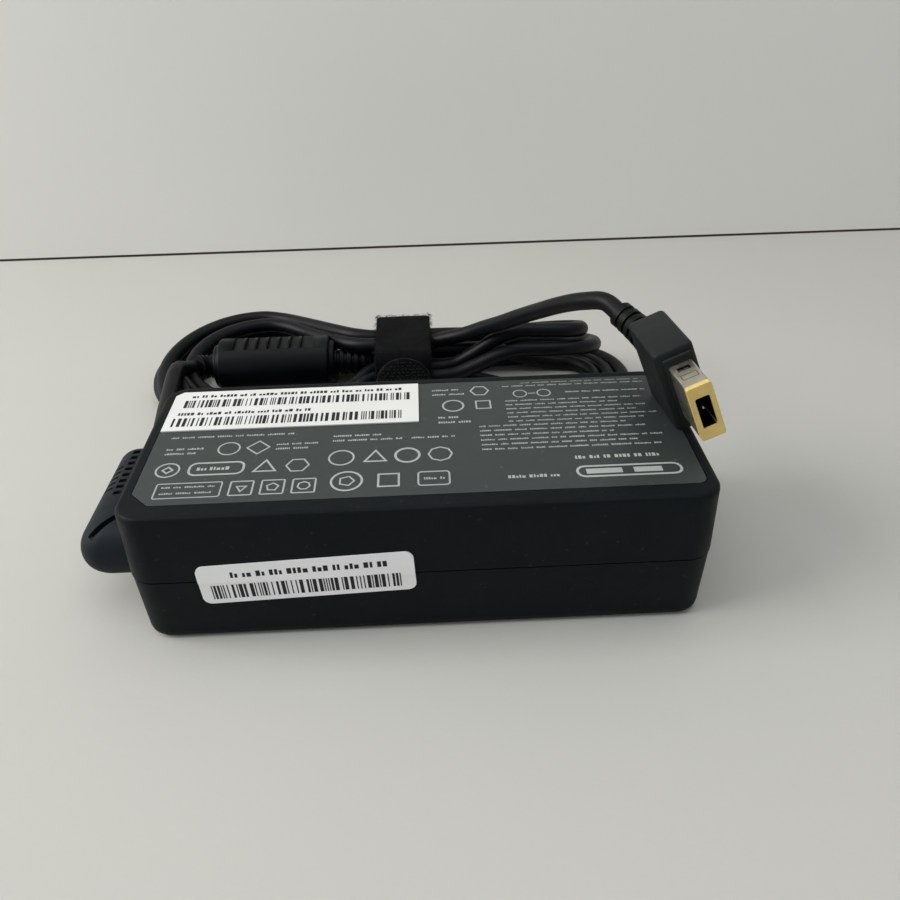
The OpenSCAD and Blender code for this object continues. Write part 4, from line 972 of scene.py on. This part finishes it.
def side_wall(u, v):
    """Point just above the front sticker at (u, v) from its middle."""
    x = SIDE_X + u * math.cos(SIDE_TILT) - v * math.sin(SIDE_TILT)
    z = SEAM_Z + u * math.sin(SIDE_TILT) + v * math.cos(SIDE_TILT)
    wall = UPPER_WALL_Y if z >= SEAM_Z else LOWER_WALL_Y
    return x, wall + DRAFT * abs(z - SEAM_Z) - SIDE_T - INK_GAP, z


class SidePrint(Print):
    """Marks on the front sticker; each is split where it crosses the seam."""

    def bar(self, u, v, w, h):
        lo, hi = v - h / 2, v + h / 2
        left, right = (-(u + side * w / 2) * math.tan(SIDE_TILT) for side in (-1, 1))
        if lo < min(left, right) and max(left, right) < hi:
            for v0, v1 in (((lo, lo), (left - FOLD_GAP, right - FOLD_GAP)),
                           ((left + FOLD_GAP, right + FOLD_GAP), (hi, hi))):
                self.poly([(u - w / 2, v0[0]), (u + w / 2, v0[1]), (u + w / 2, v1[1]), (u - w / 2, v1[0])])
        else:
            super().bar(u, v, w, h)


def side_print():
    p = SidePrint(side_wall, random.Random(31))
    p.words(-13.5, 15.5, 2.3, 1.3, 0.6)
    p.stripes(-17.6, 17.4, -1.8, 3.4, 0.22)
    p.done("side_sticker_print", INK_BLACK, "sticker")


label_print()
sticker_print()
side_print()


# ---------- plug ----------

TIP_H = 11.0
GRIP_LO, GRIP_HI = (-4.2, TIP_L, -8.9), (3.45, 27.9, 8.55)


def plug_grip():
    """Moulded body with a low step round the tip."""
    b = Builder()
    b.block(GRIP_LO, GRIP_HI, 1.0, 4, PLUG)
    b.block((-2.85, TIP_L - 0.6, -7.05), (2.85, TIP_L + 3, 7.05), 0.45, 3, PLUG)
    grip = b.done("plug_grip", GRIP, "plug_plastic", smooth=40)
    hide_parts("plug_body")


def framed(b, lo, hi, z0, z1, t):
    """Four thin bars of thickness t round the rectangle lo to hi in x and y."""
    (x0, y0), (x1, y1) = lo, hi
    for a, c in (((x0, y0), (x1, y0 + t)), ((x0, y1 - t), (x1, y1)),
                 ((x0, y0), (x0 + t, y1)), ((x1 - t, y0), (x1, y1))):
        b.block((*a, z0), (*c, z1), 0, move=PLUG)


def shield_stamp():
    """Stamped frame on the sleeve, in front of the latch window, drawn in darker metal as painted shade."""
    b = Builder()
    framed(b, (-1.5, 3.6), (1.5, 5.45), TIP_H / 2 - 0.05, TIP_H / 2 + 0.03, 0.15)
    b.done("shield_stamp", SHIELD_STAMP_SHADE, "plug_metal")


def socket_painted_shade():
    """Dark sheets inside the latch window and the socket: painted shade in these openings."""
    b = Builder()
    window_z = 4.2
    shade_boxes = (
        ((-1.2, 6.88, window_z), (1.2, 8.52, 4.55)), ((-1.21, 6.88, window_z), (-1.14, 8.52, 5.3)),
        ((1.14, 6.88, window_z), (1.21, 8.52, 5.3)), ((-1.2, 8.46, window_z), (1.2, 8.52, 5.3)),
        ((-1.37, 0.5, -3.22), (-1.29, 8.5, 3.22)), ((1.29, 0.5, -3.22), (1.37, 8.5, 3.22)),
        ((-1.35, 0.5, 3.13), (1.35, 8.5, 3.22)), ((-1.35, 0.5, -3.22), (1.35, 8.5, -3.13)),
        ((-1.35, 8.4, -3.2), (1.35, 8.5, 3.2)))
    for lo, hi in shade_boxes:
        b.block(lo, hi, 0, move=PLUG)
    b.done("socket_painted_shade", SOCKET_SHADE, "plug_plastic")


plug_grip()
shield_stamp()
socket_painted_shade()


# ---------- stage and light ----------

def stage_plane(name, corners, colour, scale):
    mesh = bpy.data.meshes.new(name)
    mesh.from_pydata(corners, [], [(0, 1, 2, 3)])
    m, nt, shader, coord = start(name + "_paint")
    base = lin(*colour)
    cloud = noise(nt, coord, scale, 3, 0.5)
    nt.links.new(mixed(nt, ranged(nt, cloud, 0, 1), scaled(base, 0.975), base), shader.inputs["Base Color"])
    fine = noise(nt, coord, 900, 3, 0.6)
    nt.links.new(bumped(nt, fine, 0.00003), shader.inputs["Normal"])
    shader.inputs["Roughness"].default_value = 0.6
    shader.inputs["Specular IOR Level"].default_value = 0.2
    mesh.materials.append(m)
    obj = bpy.data.objects.new(name, mesh)
    scene.collection.objects.link(obj)


def wall_corners(y, z0, z1):
    """Corners of an upright plane, as wide as the floor."""
    return [(-ROOM, y, z0), (ROOM, y, z0), (ROOM, y, z1), (-ROOM, y, z1)]


# Half the room's width, the wall's place and foot, and the depth of the gap behind its foot.
ROOM, WALL, FOOT, GAP = 3, WALL_Y * MM, 0.0009, 0.0005
stage_plane("floor", [(-ROOM, -ROOM, 0), (ROOM, -ROOM, 0), (ROOM, WALL, 0), (-ROOM, WALL, 0)],
            (197, 196, 190), 9)
stage_plane("wall", wall_corners(WALL, FOOT, 0.6), (238, 238, 232), 7)
# Painted shade: a dark strip behind the wall's raised foot stands for the shadow in the gap there.
stage_plane("wall_foot_painted_shade", wall_corners(WALL + GAP, -0.001, FOOT), (74, 62, 52), 20)


def lamp(name, at, to, size, power, colour):
    """A rectangular lamp at a place in metres, turned towards another."""
    data = bpy.data.lights.new(name, "AREA")
    data.shape = "RECTANGLE"
    data.size, data.size_y = size
    data.energy = power
    data.color = colour
    obj = bpy.data.objects.new(name, data)
    obj.location = at
    obj.rotation_euler = (Vector(to) - Vector(at)).to_track_quat("-Z", "Y").to_euler()
    scene.collection.objects.link(obj)


lamp("window", (-0.85, 0.0, 0.6), (0, 0.03, 0), (0.7, 0.6), 9.5, (1, 0.995, 0.98))
lamp("ceiling", (0.0, 0.0, 1.2), (0.0, 0.05, 0), (1.2, 0.8), 4.2, (0.99, 0.995, 1))

world = bpy.data.worlds.new("room")
scene.world = world
world.use_nodes = True
sky = world.node_tree.nodes["Background"]
sky.inputs["Color"].default_value = (0.93, 0.96, 1.0, 1)
sky.inputs["Strength"].default_value = 0.4
